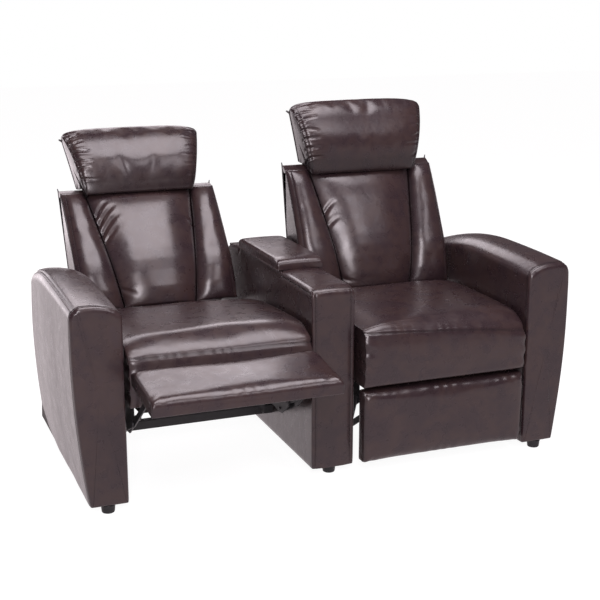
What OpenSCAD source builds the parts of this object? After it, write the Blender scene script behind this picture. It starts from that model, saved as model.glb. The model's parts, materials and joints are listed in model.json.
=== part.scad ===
// Cinema recliner row: two reclining seats, a padded arm at each end and a console
// with a lidded storage box between them. Millimetres. X runs along the row, Y from
// front to back, Z up. The origin lies on the floor under the console's front foot.
// The left seat is drawn with its footrest out and its back let down, and the right
// seat is drawn closed.

/* [Row] */
// Clear width between an arm and the console
bay_w = 536; // [500:1:580]
// Width of the console
console_w = 128; // [122:1:160]
// Width of an arm at its padded upper part
arm_w = 138; // [130:1:160]
// Height of a foot, which is the gap under arms and console
foot_h = 24; // [18:1:36]
// Diameter of a foot at the top
foot_d = 40; // [30:1:50]
// Distance from the front of an arm or the console to its front foot's middle
foot_inset = 30; // [24:1:60]
// Distance by which the arms stand ahead of the console
arm_reach = 39; // [20:1:60]

/* [Arms] */
// Depth of an arm at its lower edge
arm_d = 776; // [740:1:840]
// Height of an arm's top above the floor at the front
arm_front_h = 572; // [540:1:590]
// Height of an arm's top above the floor at its crest
arm_crest_h = 581; // [575:1:610]
// Distance from an arm's front to the crest
arm_crest_y = 333; // [240:1:400]
// Height above the floor where the top runs into the rear edge
arm_rear_h = 523; // [480:1:550]
// Distance by which the rear edge leans forward from floor to top
arm_rake = 111; // [60:1:140]
// Distance by which the outer side draws in towards the floor
arm_taper = 33; // [10:1:36]
// Distance by which the outer side draws in towards the rear
arm_narrow = 12; // [0:1:20]
// Height above the floor at which the outer side is at its full width
arm_taper_h = 450; // [380:1:480]
// Width over which the top falls softly towards the inner face
arm_soft_w = 90; // [60:1:92]
// Height over which the top falls softly towards the inner face
arm_soft_h = 40; // [20:1:46]
// Radius of the seamed outer top edge
arm_seam_r = 34; // [16:1:36]
// Height of the top pad
arm_pad_h = 50; // [48:1:60]
// Thickness of the front pad
arm_front_t = 14; // [8:1:20]
// Thickness of the cover on the inner side
arm_cover_t = 8; // [5:1:12]
// Thickness of the cover on the rear edge
arm_rear_t = 6; // [4:1:10]
// Thickness of a plywood panel in the arm
arm_board = 12; // [9:1:15]
// Least thickness of the padding on the outer side
arm_outer_t = 5; // [4:1:10]

/* [Console] */
// Depth of the console
console_d = 755; // [730:1:800]
// Height of the console's top above the floor
console_h = 550; // [530:1:580]
// Thickness of the front pad
console_front_t = 12; // [8:1:18]
// Thickness of each side cover
console_cover_t = 8; // [5:1:12]
// Thickness of the pads on top
console_pad_t = 14; // [10:1:20]
// Radius of the console's long top edges
console_edge_r = 12; // [6:1:14]
// Thickness of a plywood panel in the console
console_board = 9; // [6:1:12]
// Height that the rear block's top falls by towards the back
console_fall = 24; // [10:1:40]
// Depth of the storage box below the console's top
storage_h = 146; // [100:1:200]
// Wall of the plastic tray in the storage box
tray_wall = 3; // [2:0.5:4]
// Gap between tray and storage box
tray_gap = 0.5; // [0.3:0.1:1]

/* [Lid] */
// Length of the fixed block behind the lid
rear_block_l = 136; // [110:1:150]
// Length of the lid
lid_l = 361; // [330:1:375]
// Width of the lid
lid_w = 146; // [136:1:170]
// Thickness of the lid with its pad
lid_t = 34; // [28:1:45]
// Thickness of the lid's board
lid_board_t = 9; // [6:1:12]
// Gap between lid and console
lid_gap = 0.5; // [0.3:0.1:1]
// Outer diameter of the lid hinge
hinge_d = 7; // [6:0.5:9]
// Diameter of the lid hinge's pin
hinge_pin_d = 3; // [2:0.5:4]
// Length of the lid hinge
hinge_l = 92; // [60:1:110]
// Height of a hinge leaf
hinge_leaf_h = 18; // [12:1:20]
// Thickness of a hinge leaf
hinge_leaf_t = 1.5; // [1:0.1:2]

/* [Seat] */
// Gap between a seat cushion and the arm or console beside it
seat_gap = 12; // [8:1:20]
// Depth of a seat cushion at its full width
seat_d = 526; // [520:1:530]
// Length of the narrower tongue behind it that runs under the back
tongue_l = 120; // [100:1:125]
// Gap between the tongue under the back and the side plates
tongue_gap = 14; // [10:1:30]
// Height of the tongue's top above the floor
tongue_z = 398; // [380:1:399]
// Height of a seat cushion at its crown
seat_h = 180; // [150:1:190]
// Height of a seat cushion's underside above the floor
seat_z = 264; // [262:1:280]
// Distance by which the seat stands ahead of the console's front
seat_reach = 48; // [30:1:60]
// Drop of the cushion's top from its middle to its sides
seat_side_drop = 14; // [4:1:20]
// Thickness of the plywood deck under the cushion
deck_t = 12; // [9:1:15]
// Height of the timber rails with the deck
seat_rail_h = 28; // [24:1:34]
// Room for the mechanism between the seat frame and the arm or console
mechanism_gap = 46; // [46:1:52]

/* [Back] */
// Gap between a back and the arm or console beside it
back_gap = 15; // [10:1:28]
// Length of the back along its rear face, from the recline pivot to its top edge
back_l = 577; // [570:1:590]
// Drop from the back's top rear edge to the seam along its top front
back_seam_drop = 20; // [15:1:30]
// Depth that the headrest sits below the back's top rear edge
headrest_sink = 8; // [6:1:9]
// Distance from the recline pivot up to the cushions' lower edge
back_foot_l = 168; // [167:1:175]
// Lean of the back's rear face when it is upright
back_lean = 10.3; // [8:0.1:14]
// Thickness of the cushion at its lower edge, with frame and cover
back_t = 115; // [100:1:120]
// Thickness of the back along its top seam, with frame and cover
back_top_t = 31; // [28:1:40]
// Width of the middle cushion at its top
panel_top_w = 349; // [320:1:360]
// Width of the middle cushion at its lower edge
panel_foot_w = 229; // [200:1:260]
// Height of the middle cushion's crown over its seams
panel_crown = 20; // [8:1:26]
// Height of a side bolster's crown over its seams
bolster_crown = 20; // [8:1:26]
// Distance by which the inner seams stand ahead of the outer ones
seam_step = 10; // [0:1:16]
// Thickness of the plywood panel in the back
back_board = 15; // [12:1:18]
// Thickness of the rear cover
back_cover_t = 6; // [4:1:8]

/* [Headrest] */
// Width of a headrest at its lower edge
headrest_foot_w = 372; // [340:1:400]
// Width of a headrest at its top
headrest_top_w = 450; // [420:1:470]
// Height of a headrest
headrest_h = 206; // [190:1:230]
// Thickness of a headrest at its lower edge
headrest_t = 94; // [80:1:110]
// Extra thickness in the middle of a headrest
headrest_crown = 12; // [0:1:20]
// Distance by which a headrest stands behind the back's rear face
headrest_overhang = 14; // [8:1:20]
// Width of a steel arm under the headrest
ratchet_w = 10; // [8:1:12]
// Distance of the headrest's ratchet pivot below the back's top seam
ratchet_drop = 14; // [12:1:18]
// Distance of the headrest's ratchet pivot ahead of the back's panel
ratchet_ahead = 12; // [11:1:14]

/* [Footrest] */
// Gap between a footrest and the arm or console beside it
footrest_gap = 13; // [8:1:28]
// Height of a footrest when it hangs closed
footrest_h = 212; // [200:1:216]
// Thickness of a footrest with its board
footrest_t = 42; // [36:1:46]
// Thickness of the footrest's board
footrest_board_t = 12; // [9:1:15]
// Height of the closed footrest's lower edge above the floor
footrest_z = 39; // [34:1:44]
// Radius of the footrest's long edges
footrest_r = 14; // [8:1:18]
// Distance by which the closed footrest stands ahead of the seat's front
footrest_reach = 2; // [0:0.5:6]

/* [Mechanism] */
// Length of a crank from pivot to pivot
crank_l = 110; // [110:1:112]
// Width of a link
link_w = 18; // [14:1:20]
// Thickness of a link
link_t = 4; // [3:0.5:4]
// Sideways gap between two links
link_gap = 0.5; // [0.3:0.1:0.5]
// Distance of the seat's tilt pivot behind the seat's front
tilt_y = 338; // [336:1:345]
// Height of the seat's tilt pivot above the floor
tilt_z = 118; // [116:1:122]
// Length of the links that carry the back, from pivot to pivot
back_link_l = 110; // [108:1:112]
// Distance of the closed back's pivot behind the seat's front
recline_y = 563; // [561:1:570]
// Height of the closed back's pivot above the floor
recline_z = 235; // [233:1:238]
// Diameter of a link's pin
pin_d = 8; // [6:0.5:10]
// Diameter of the pins of the tilt and of the back's links
main_pin_d = 12; // [10:0.5:14]
// Radial running clearance of every pin
pin_gap = 0.05; // [0.02:0.01:0.1]
// Side of a base tube's square section
tube = 25; // [20:1:30]
// Wall of a base tube
tube_wall = 2; // [1.5:0.5:3]
// Thickness of a mechanism side plate
plate_t = 4; // [3:0.5:5]

/* [Hidden] */
$fn = 48;

leather = "#4a3b3d";
timber = "#c9a36c";
steel = "#2b2b2e";
plastic = "#1d1d20";

left = -1;
right = 1;
overrun = 1;

// Soft neighbours on different bodies stay this far apart
soft_gap = 0.5;

console_front_y = -foot_inset;
arm_front_y = console_front_y - arm_reach;
seat_front_y = console_front_y - seat_reach;
arm_x = console_w/2 + bay_w;
chair_x = console_w/2 + bay_w/2;
arm_rear_y = arm_d - arm_rake;
seat_w = bay_w - 2*seat_gap;
seat_frame_w = bay_w - 2*mechanism_gap;
tongue_w = seat_frame_w - 2*tongue_gap;
back_w = bay_w - 2*back_gap;
footrest_w = bay_w - 2*footrest_gap;

// Places in a chair's own frame: x from its middle, y from the seat's front, z from
// the floor. The closed footrest hangs under the front of the cushion.
tilt_pivot = [tilt_y, tilt_z];
recline_pivot = [recline_y, recline_z];
footrest_front_y = -footrest_reach;
board_back_y = footrest_front_y + footrest_t;

// Motion from closed to the footrest's stop, in degrees
seat_tilt = 4;
back_link_start = -26;
back_link_swing = 65.5;
back_turn = 11.75;
crank_start = -113.1;
crank_swing = 134.05;
coupler_angle = 32.3;
board_turn = 79.6;

// The footrest hangs on its brackets' pins, which lie behind the board
board_pin_drop = footrest_h*0.4;
board_pin_back = 12;
board_pin = [board_back_y + board_pin_back, footrest_z + footrest_h - board_pin_drop];
coupler_l = 135.1;
crank_spacing = 65;

// The open state of each chair as it is drawn
function openness(side) = side == left ? 1 : 0;

// Points in a chair's side view: y to the back, z up. Angles run from the front, up.
function ahead(angle, length) = [-cos(angle)*length, sin(angle)*length];
front_crank_low = board_pin - ahead(coupler_angle, coupler_l);
front_crank_pivot = front_crank_low - ahead(crank_start, crank_l);
rear_crank_low = front_crank_low - ahead(coupler_angle, crank_spacing);
rear_crank_pivot = front_crank_pivot - ahead(coupler_angle, crank_spacing);
function link_shift(open) =
    ahead(crank_start + open*crank_swing, crank_l) - ahead(crank_start, crank_l);

// Links of the back stand up from the side plates, and their angles run from upright
function upright(angle, length) = [sin(angle)*length, cos(angle)*length];
back_link_pivot = recline_pivot - upright(back_link_start, back_link_l);
function back_link_angle(open) = back_link_start + open*back_link_swing;

// Sideways layers of the mechanism, from a chair's middle outwards
plate_x = seat_frame_w/2;
back_link_x = plate_x - link_gap - link_t;
crank_x = plate_x + plate_t + link_gap;
coupler_x = crank_x + link_t + link_gap;
outer_x = coupler_x + link_t + link_gap;
rail_x = plate_x + plate_t + link_gap;

function middle(points) = [for (k = [0:2]) let (s = [for (p = points) p[k]]) total(s)/len(s)];
function total(list, i = 0) = i < len(list) ? list[i] + total(list, i + 1) : 0;
function blend(a, b, t) = a + (b - a)*t;
function sides_of(s) = [-s, s];

// Value of a curve at x, read between the points of a list of [x, value]
function curve(list, x, i = 0) =
    i >= len(list) - 2 || x <= list[i + 1][0]
        ? blend(list[i][1], list[i + 1][1],
            (x - list[i][0])/(list[i + 1][0] - list[i][0]))
        : curve(list, x, i + 1);

// Closed skin through rings of points, all with the same count of points
module skin(rings) {
    m = len(rings);
    n = len(rings[0]);
    points = concat([for (r = rings) for (p = r) p], [middle(rings[0]), middle(rings[m - 1])]);
    walls = [for (i = [0:m - 2]) for (j = [0:n - 1])
        let (a = i*n + j, b = i*n + (j + 1) % n) each [[a, b, b + n], [a, b + n, a + n]]];
    caps = [for (j = [0:n - 1]) let (k = (j + 1) % n, last = (m - 1)*n)
        each [[m*n, k, j], [m*n + 1, last + j, last + k]]];
    polyhedron(points, concat(walls, caps), convexity = 6);
}

module at_arm(side) {
    translate([side*arm_x, arm_front_y, 0]) {
        mirror([side == left ? 1 : 0, 0, 0]) {
            children();
        }
    }
}

module at_console() {
    translate([0, console_front_y, 0]) {
        children();
    }
}

module turned_about(pivot, angle) {
    translate([0, pivot[0], pivot[1]]) {
        rotate([-angle, 0, 0]) {
            translate([0, -pivot[0], -pivot[1]]) {
                children();
            }
        }
    }
}

module at_chair(side) {
    translate([side*chair_x, seat_front_y, 0]) {
        children();
    }
}

module on_seat(side) {
    at_chair(side) {
        turned_about(tilt_pivot, openness(side)*seat_tilt) {
            children();
        }
    }
}

// Frame of a back: z runs up its rear face from the recline pivot, -y to the front
module on_back(side) {
    place = back_link_pivot + upright(back_link_angle(openness(side)), back_link_l);
    on_seat(side) {
        translate([0, place[0], place[1]]) {
            rotate([-back_lean - openness(side)*back_turn, 0, 0]) {
                children();
            }
        }
    }
}

module on_coupler(side) {
    shift = link_shift(openness(side));
    on_seat(side) {
        translate([0, shift[0], shift[1]]) {
            children();
        }
    }
}

module on_footrest(side) {
    on_coupler(side) {
        turned_about(board_pin, openness(side)*board_turn) {
            children();
        }
    }
}

// Plate in the side view, from x to x + t
module side_sheet(x, t) {
    translate([x, 0, 0]) {
        rotate([90, 0, 90]) {
            linear_extrude(t) {
                children();
            }
        }
    }
}

module both_sides() {
    for (s = [0, 1]) {
        mirror([s, 0, 0]) {
            children();
        }
    }
}

module pin_at(place, x, length, d) {
    translate([x, place[0], place[1]]) {
        rotate([0, 90, 0]) {
            cylinder(d = d, h = length);
        }
    }
}

module bore_at(place, x, length, d) {
    pin_at(place, x - overrun, length + 2*overrun, d + 2*pin_gap);
}

// Flat bar with round ends between two points of the side view
end_step = 15;
function round_end(at, heading) =
    [for (a = [heading - 90:end_step:heading + 90]) at + [cos(a), sin(a)]*link_w/2];

module link_bar(from, to, x) {
    reach = to - from;
    heading = atan2(reach[1], reach[0]);
    side_sheet(x, link_t) {
        polygon(concat(round_end(to, heading), round_end(from, heading + 180)));
    }
}

// Arms. Inside an arm's frame x runs outwards from the face beside the seat.
arm_frame_out = arm_w - arm_taper - arm_outer_t;
arm_steps = 12;
function arm_top(y) =
    y < arm_crest_y
        ? arm_crest_h - (arm_crest_h - arm_front_h)*pow(1 - y/arm_crest_y, 2)
        : arm_crest_h
            - (arm_crest_h - arm_rear_h)*pow((y - arm_crest_y)/(arm_rear_y - arm_crest_y), 2);
function arm_out(z) =
    arm_w - arm_taper*pow(max(0, 1 - (z - foot_h)/(arm_taper_h - foot_h)), 1.9);
function arm_narrowing(y) =
    arm_narrow*pow(max(0, (y - arm_crest_y)/(arm_rear_y - arm_crest_y)), 1.5);

// Underside of an arm's top pad, which the body below it follows
arm_grid = [for (i = [0:arm_steps]) blend(arm_front_t, arm_rear_y, i/arm_steps)];
arm_seat_line = [for (y = arm_grid) [y, arm_top(y) - arm_pad_h]];

// Side outline of an arm's body below the top pad, from a front place to the rear
module arm_outline(front, rear_inset) {
    rear = arm_rear_y - rear_inset;
    ys = concat([rear], [for (i = [arm_steps:-1:0]) if (arm_grid[i] < rear) arm_grid[i]], [front]);
    polygon(concat(
        [[front, foot_h], [arm_d - rear_inset, foot_h]],
        [for (y = ys) if (y >= front) [y, curve(arm_seat_line, y)]]));
}

module arm_frame(side) {
    color(timber) at_arm(side) {
        side_sheet(arm_cover_t, arm_board) {
            arm_outline(arm_front_t, arm_rear_t);
        }
        side_sheet(arm_frame_out - arm_board, arm_board) {
            arm_outline(arm_front_t, arm_rear_t);
        }
        side_sheet(arm_cover_t, arm_frame_out - arm_cover_t) {
            difference() {
                arm_outline(arm_front_t, arm_rear_t);
                polygon([
                    [arm_front_t + 2*arm_board, foot_h + 2*arm_board],
                    [arm_d - arm_rear_t - 3*arm_board, foot_h + 2*arm_board],
                    [arm_rear_y - arm_rear_t - 3*arm_board, arm_rear_h - arm_pad_h - arm_board],
                    [arm_crest_y, arm_front_h - arm_pad_h - arm_board],
                    [arm_front_t + 2*arm_board, arm_front_h - arm_pad_h - arm_board]
                ]);
            }
        }
    }
}

module arm_covers(side) {
    zs = [for (i = [0:arm_steps]) blend(foot_h, arm_taper_h, i/arm_steps)];
    color(leather) at_arm(side) {
        side_sheet(0, arm_cover_t) {
            arm_outline(arm_front_t, 0);
        }
        intersection() {
            side_sheet(arm_frame_out, arm_w) {
                arm_outline(arm_front_t, 0);
            }
            linear_extrude(arm_crest_h) {
                polygon(concat(
                    [[0, arm_d], [0, 0], [arm_w, 0]],
                    [for (i = [0:arm_steps]) let (y = blend(arm_crest_y, arm_rear_y, i/arm_steps))
                        [arm_w - arm_narrowing(y), y]],
                    [[arm_w - arm_narrow, arm_d]]));
            }
            translate([0, arm_d, 0]) {
                rotate([90, 0, 0]) {
                    linear_extrude(arm_d) {
                        polygon(concat(
                            [[0, foot_h]],
                            [for (z = zs) [arm_out(z), z]],
                            [[arm_w, arm_crest_h], [0, arm_crest_h]]));
                    }
                }
            }
        }
        side_sheet(arm_cover_t, arm_frame_out - arm_cover_t) {
            difference() {
                arm_outline(arm_front_t, 0);
                arm_outline(0, arm_rear_t);
            }
        }
    }
}

// Outline of an arm across its width below a top at height top
arc_steps = 5;
function arm_crown(top, narrowing = 0) = concat(
    [for (i = [0:arc_steps]) let (a = 90*i/arc_steps)
        [arm_w - narrowing - arm_seam_r*(1 - cos(a)), top - arm_seam_r*(1 - sin(a))]],
    [for (i = [0:arc_steps]) let (a = 90*i/arc_steps)
        [arm_soft_w*(1 - sin(a)), top - arm_soft_h*(1 - cos(a))]]);

module arm_front_pad(side) {
    zs = [for (i = [0:arm_steps]) blend(foot_h, arm_taper_h, i/arm_steps)];
    color(leather) at_arm(side) {
        translate([0, arm_front_t, 0]) {
            rotate([90, 0, 0]) {
                linear_extrude(arm_front_t) {
                    polygon(concat(
                        [[0, foot_h]],
                        [for (z = zs) [arm_out(z), z]],
                        arm_crown(arm_front_h)));
                }
            }
        }
    }
}

module arm_top_pad(side) {
    end = arm_seam_r/2;
    ys = concat(
        [for (i = [0:arm_steps - 1]) arm_grid[i]],
        [arm_rear_y - end, arm_rear_y - end*0.3, arm_rear_y]);
    drops = concat([for (i = [0:arm_steps]) 0], [end*0.3, end]);
    rings = [for (k = [0:len(ys) - 1])
        let (y = ys[k], foot = curve(arm_seat_line, y),
            across = concat(
                [[0, foot], [arm_w - arm_narrowing(y), foot]],
                arm_crown(arm_top(y) - drops[k], arm_narrowing(y))))
        [for (p = across) [p[0], y, max(foot, p[1])]]];
    color(leather) at_arm(side) {
        skin(rings);
    }
}

// Console. Inside its frame y runs from the front, x from the middle.
lid_y = console_d - rear_block_l - hinge_d - lid_l;
box_w = console_w - 2*console_cover_t;
box_top = console_h - console_pad_t;
storage_front_y = lid_y + 2*console_board;
storage_l = lid_l - 4*console_board;
rear_block_y = lid_y + lid_l + hinge_d;
box_rear_y = console_d - console_cover_t;

module bar_at(x0, x1, y0, y1, z0, z1) {
    translate([x0, y0, z0]) {
        cube([x1 - x0, y1 - y0, z1 - z0]);
    }
}

module console_box() {
    b = console_board;
    color(timber) at_console() {
        difference() {
            bar_at(-box_w/2, box_w/2, console_front_t, box_rear_y, foot_h, box_top);
            bar_at(-box_w/2 + b, box_w/2 - b, console_front_t + b, box_rear_y - b,
                foot_h + b, console_h - storage_h - b);
            bar_at(-box_w/2 + b, box_w/2 - b, storage_front_y, storage_front_y + storage_l,
                console_h - storage_h, console_h);
            bar_at(-box_w/2 + b, box_w/2 - b, console_front_t + b, storage_front_y - b,
                console_h - storage_h, box_top - b);
            bar_at(-box_w/2 + b, box_w/2 - b, storage_front_y + storage_l + b,
                box_rear_y - b, console_h - storage_h, box_top - 3*b);
        }
    }
}

module console_covers() {
    color(leather) at_console() {
        for (s = [0, 1]) {
            mirror([s, 0, 0]) {
                side_sheet(box_w/2, console_cover_t) {
                    polygon([
                        [console_front_t, foot_h],
                        [console_d, foot_h],
                        [console_d, box_top - console_fall],
                        [rear_block_y + console_board, box_top],
                        [rear_block_y, box_top],
                        [rear_block_y, console_h],
                        [lid_y, console_h],
                        [lid_y, box_top],
                        [console_front_t, box_top]
                    ]);
                }
            }
        }
        bar_at(-box_w/2, box_w/2, box_rear_y, console_d, foot_h, box_top - console_fall);
    }
}

// Outline of the console across its width, rounded at the top
function console_crown(top) = concat(
    [for (i = [0:arc_steps]) let (a = 90*i/arc_steps)
        [console_w/2 - console_edge_r*(1 - cos(a)), top - console_edge_r*(1 - sin(a))]],
    [for (i = [0:arc_steps]) let (a = 90*i/arc_steps)
        [-console_w/2 + console_edge_r*(1 - sin(a)), top - console_edge_r*(1 - cos(a))]]);

module console_front_pad() {
    color(leather) at_console() {
        translate([0, console_front_t, 0]) {
            rotate([90, 0, 0]) {
                linear_extrude(console_front_t) {
                    polygon(concat(
                        [[-console_w/2, foot_h], [console_w/2, foot_h]],
                        console_crown(console_h)));
                }
            }
        }
    }
}

function console_rings(ys, falls) = [for (k = [0:len(ys) - 1])
    let (across = concat(
        [[-console_w/2, box_top - falls[k]], [console_w/2, box_top - falls[k]]],
        console_crown(console_h - falls[k])))
    [for (p = across) [p[0], ys[k], p[1]]]];

module console_top_pad() {
    color(leather) at_console() {
        skin(console_rings([console_front_t, lid_y - lid_gap], [0, 0]));
    }
}

module console_rear_pad() {
    steps = 6;
    start = rear_block_y + console_board;
    ys = [for (i = [0:steps]) blend(start, console_d, i/steps)];
    falls = [for (i = [0:steps]) console_fall*i/steps];
    color(leather) at_console() {
        difference() {
            skin(console_rings(ys, falls));
            bar_at(-box_w/2, box_w/2, start - overrun, box_rear_y, foot_h, box_top);
        }
    }
}

module console_tray() {
    w = box_w - 2*console_board - 2*tray_gap;
    l = storage_l - 2*tray_gap;
    y = storage_front_y + tray_gap;
    floor_z = console_h - storage_h + tray_gap;
    color(plastic) at_console() {
        difference() {
            union() {
                bar_at(-w/2, w/2, y, y + l, floor_z, console_h);
                bar_at(-box_w/2, box_w/2, lid_y, rear_block_y, box_top, console_h);
            }
            bar_at(-w/2 + tray_wall, w/2 - tray_wall, y + tray_wall, y + l - tray_wall,
                floor_z + tray_wall, console_h + overrun);
        }
    }
}

// The lid turns on a hinge behind it, whose pin lies just above the console's top
hinge_y = lid_y + lid_l + hinge_d/2;
hinge_z = console_h + lid_gap + hinge_d/2;
knuckles = 5;
knuckle_l = hinge_l/knuckles;

module hinge_knuckles(first) {
    for (i = [first:2:knuckles - 1]) {
        pin_at([hinge_y, hinge_z], -hinge_l/2 + i*knuckle_l + link_gap/2,
            knuckle_l - link_gap, hinge_d);
    }
}

module console_hinge() {
    color(steel) at_console() {
        difference() {
            union() {
                hinge_knuckles(0);
                for (i = [0:2:knuckles - 1]) {
                    bar_at(-hinge_l/2 + i*knuckle_l + link_gap/2,
                        -hinge_l/2 + (i + 1)*knuckle_l - link_gap/2,
                        hinge_y + hinge_d/2 - hinge_leaf_t, hinge_y + hinge_d/2,
                        console_h, hinge_z);
                }
                bar_at(-hinge_l/2, hinge_l/2, hinge_y + hinge_d/2 - hinge_leaf_t,
                    rear_block_y + console_board, console_h, console_h + hinge_leaf_t/3);
                bar_at(-hinge_l/2, hinge_l/2, rear_block_y, rear_block_y + console_board,
                    box_top, console_h + hinge_leaf_t/3);
            }
            bore_at([hinge_y, hinge_z], -hinge_l/2, hinge_l, hinge_pin_d);
        }
    }
}

module lid_hinge() {
    color(steel) at_console() {
        hinge_knuckles(1);
        pin_at([hinge_y, hinge_z], -hinge_l/2, hinge_l, hinge_pin_d);
        for (i = [1:2:knuckles - 1]) {
            bar_at(-hinge_l/2 + i*knuckle_l + link_gap/2,
                -hinge_l/2 + (i + 1)*knuckle_l - link_gap/2,
                hinge_y - hinge_d/2, hinge_y - hinge_d/2 + hinge_leaf_t,
                hinge_z, hinge_z + hinge_leaf_h);
        }
    }
}

module lid_board() {
    inset = lid_board_t;
    color(timber) at_console() {
        bar_at(-lid_w/2 + inset, lid_w/2 - inset, lid_y + inset, lid_y + lid_l,
            console_h + lid_gap, console_h + lid_gap + lid_board_t);
    }
}

// Shares of a padded block's width and height around its outline, from the foot
pad_shares = [
    [-0.97, 0], [0.97, 0], [1, 0.18], [1, 0.6], [0.975, 0.8], [0.93, 0.9],
    [0.6, 0.97], [0, 1], [-0.6, 0.97], [-0.93, 0.9], [-0.975, 0.8], [-1, 0.6], [-1, 0.18]
];

module lid_pad() {
    foot = console_h + lid_gap;
    end_shares = [[0, 0.7], [0.012, 0.84], [0.04, 0.94], [0.2, 0.985], [0.5, 1],
        [0.8, 0.985], [0.96, 0.94], [0.988, 0.84], [1, 0.7]];
    rings = [for (e = end_shares)
        [for (p = pad_shares)
            [p[0]*lid_w/2, lid_y + e[0]*lid_l, foot + p[1]*e[1]*lid_t]]];
    color(leather) at_console() {
        difference() {
            skin(rings);
            bar_at(-lid_w/2 + lid_board_t, lid_w/2 - lid_board_t, lid_y + lid_board_t,
                lid_y + lid_l + overrun, foot - overrun, foot + lid_board_t);
        }
    }
}

module foot() {
    cylinder(d1 = foot_d*0.9, d2 = foot_d, h = foot_h);
}

module feet() {
    arm_foot_x = arm_x + arm_frame_out/2 + arm_cover_t/2;
    color(plastic) {
        for (x = [-arm_foot_x, arm_foot_x]) {
            for (y = [arm_front_y + foot_inset*0.8, arm_front_y + arm_d - 2*foot_inset]) {
                translate([x, y, 0]) {
                    foot();
                }
            }
        }
        for (y = [0, console_front_y + console_d - 2*foot_inset]) {
            translate([0, y, 0]) {
                foot();
            }
        }
    }
}

// Base of each mechanism: two cross tubes between arm and console, two rails on them
cross_z = tilt_pivot[1] - tube*1.5;
front_cross_y = tilt_pivot[0] + tube*2.2;
rear_cross_y = recline_pivot[0] + tube*3.4;

module cross_tube(y) {
    for (side = [left, right]) {
        at_chair(side) {
            difference() {
                bar_at(-bay_w/2, bay_w/2, y, y + tube, cross_z, cross_z + tube);
                bar_at(-bay_w/2 - overrun, bay_w/2 + overrun, y + tube_wall,
                    y + tube - tube_wall, cross_z + tube_wall, cross_z + tube - tube_wall);
            }
        }
    }
}

module front_cross_tubes() {
    color(steel) cross_tube(front_cross_y);
}

module rear_cross_tubes() {
    color(steel) cross_tube(rear_cross_y);
}

module base_rails(side) {
    y0 = tilt_pivot[0] - tube/2;
    y1 = rear_cross_y + tube;
    z0 = cross_z + tube;
    color(steel) at_chair(side) {
        both_sides() {
            difference() {
                bar_at(rail_x, rail_x + tube, y0, y1, z0, z0 + tube);
                bar_at(rail_x + tube_wall, rail_x + tube - tube_wall, y0 + tube_wall,
                    y1 + overrun, z0 + tube_wall, z0 + tube - tube_wall);
                bore_at(tilt_pivot, rail_x, tube, main_pin_d);
            }
        }
    }
}

// Seat. The frame hangs between two steel side plates that carry every pivot.
rail_w = 24;
deck_front_gap = 6;
deck_front_y = board_back_y + deck_front_gap;
deck_rear_y = seat_d;

module seat_frame(side) {
    low = seat_z - soft_gap - seat_rail_h;
    high = seat_z - soft_gap;
    color(timber) on_seat(side) {
        difference() {
            bar_at(-seat_frame_w/2, seat_frame_w/2, deck_front_y, deck_rear_y, low, high);
            bar_at(-seat_frame_w/2 + rail_w, seat_frame_w/2 - rail_w,
                deck_front_y + rail_w, deck_rear_y - rail_w, low - overrun, high - deck_t);
        }
    }
}

module plate_outline() {
    boss = main_pin_d;
    high = seat_z - soft_gap;
    low = high - seat_rail_h;
    front = front_crank_pivot - [boss, 0];
    rear = back_link_pivot;
    polygon([
        [front[0], front[1] - boss],
        [rear_crank_pivot[0] - boss, rear_crank_pivot[1] - boss],
        [rear_crank_pivot[0] + boss, rear_crank_pivot[1] - boss],
        [tilt_pivot[0] - 2*boss, tilt_pivot[1] + 4*boss],
        [tilt_pivot[0] - boss, tilt_pivot[1] - boss],
        [tilt_pivot[0] + boss, tilt_pivot[1] - boss],
        [tilt_pivot[0] + 2*boss, tilt_pivot[1] + 4*boss],
        [rear[0] - boss, rear[1] - boss/2],
        [rear[0], rear[1] - boss],
        [rear[0] + boss, rear[1] - boss/2],
        [rear[0] + boss, rear[1] + boss/2],
        [deck_rear_y, low - 2*boss],
        [deck_rear_y, high],
        [front[0], high]
    ]);
}

module side_plates(side) {
    color(steel) on_seat(side) {
        both_sides() {
            difference() {
                side_sheet(plate_x, plate_t) {
                    plate_outline();
                }
                bore_at(front_crank_pivot, plate_x, plate_t, pin_d);
                bore_at(rear_crank_pivot, plate_x, plate_t, pin_d);
                bore_at(back_link_pivot, plate_x, plate_t, main_pin_d);
            }
            pin_at(tilt_pivot, plate_x, plate_t + link_gap + tube, main_pin_d);
        }
    }
}

// Shares of a seat cushion's depth and height around its side outline
seat_shares = [
    [0.02, 0], [0.35, 0], [0.7, 0], [1, 0], [1, 0.4], [1, 0.73], [0.98, 0.765],
    [0.935, 0.81], [0.9, 0.865], [0.865, 0.975], [0.7, 1], [0.5, 1], [0.3, 1],
    [0.15, 0.99], [0.07, 0.955], [0.025, 0.885], [-0.004, 0.79], [-0.012, 0.6],
    [-0.012, 0.35], [0, 0.07]
];
// Share across the half width, share of the side drop, share by which the front draws in
seat_side_shares = [[-1, 1, 0.02], [-0.985, 0.7, 0.008], [-0.9, 0.42, 0.002], [-0.7, 0.2, 0],
    [-0.35, 0.05, 0], [0, 0, 0], [0.35, 0.05, 0], [0.7, 0.2, 0], [0.9, 0.42, 0.002],
    [0.985, 0.7, 0.008], [1, 1, 0.02]];

module seat_cushion(side) {
    rings = [for (s = seat_side_shares)
        [for (p = seat_shares)
            [-s[0]*seat_w/2,
                seat_d*(p[0] < 0.5 ? max(p[0], s[2] + p[0]) : p[0]),
                min(seat_z + p[1]*(seat_h - s[1]*seat_side_drop),
                    p[0] == 1 ? tongue_z : seat_z + seat_h)]]];
    color(leather) on_seat(side) {
        skin(rings);
    }
}

module seat_tongue(side) {
    color(leather) on_seat(side) {
        bar_at(-tongue_w/2, tongue_w/2, seat_d, seat_d + tongue_l, seat_z, tongue_z);
    }
}

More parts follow.
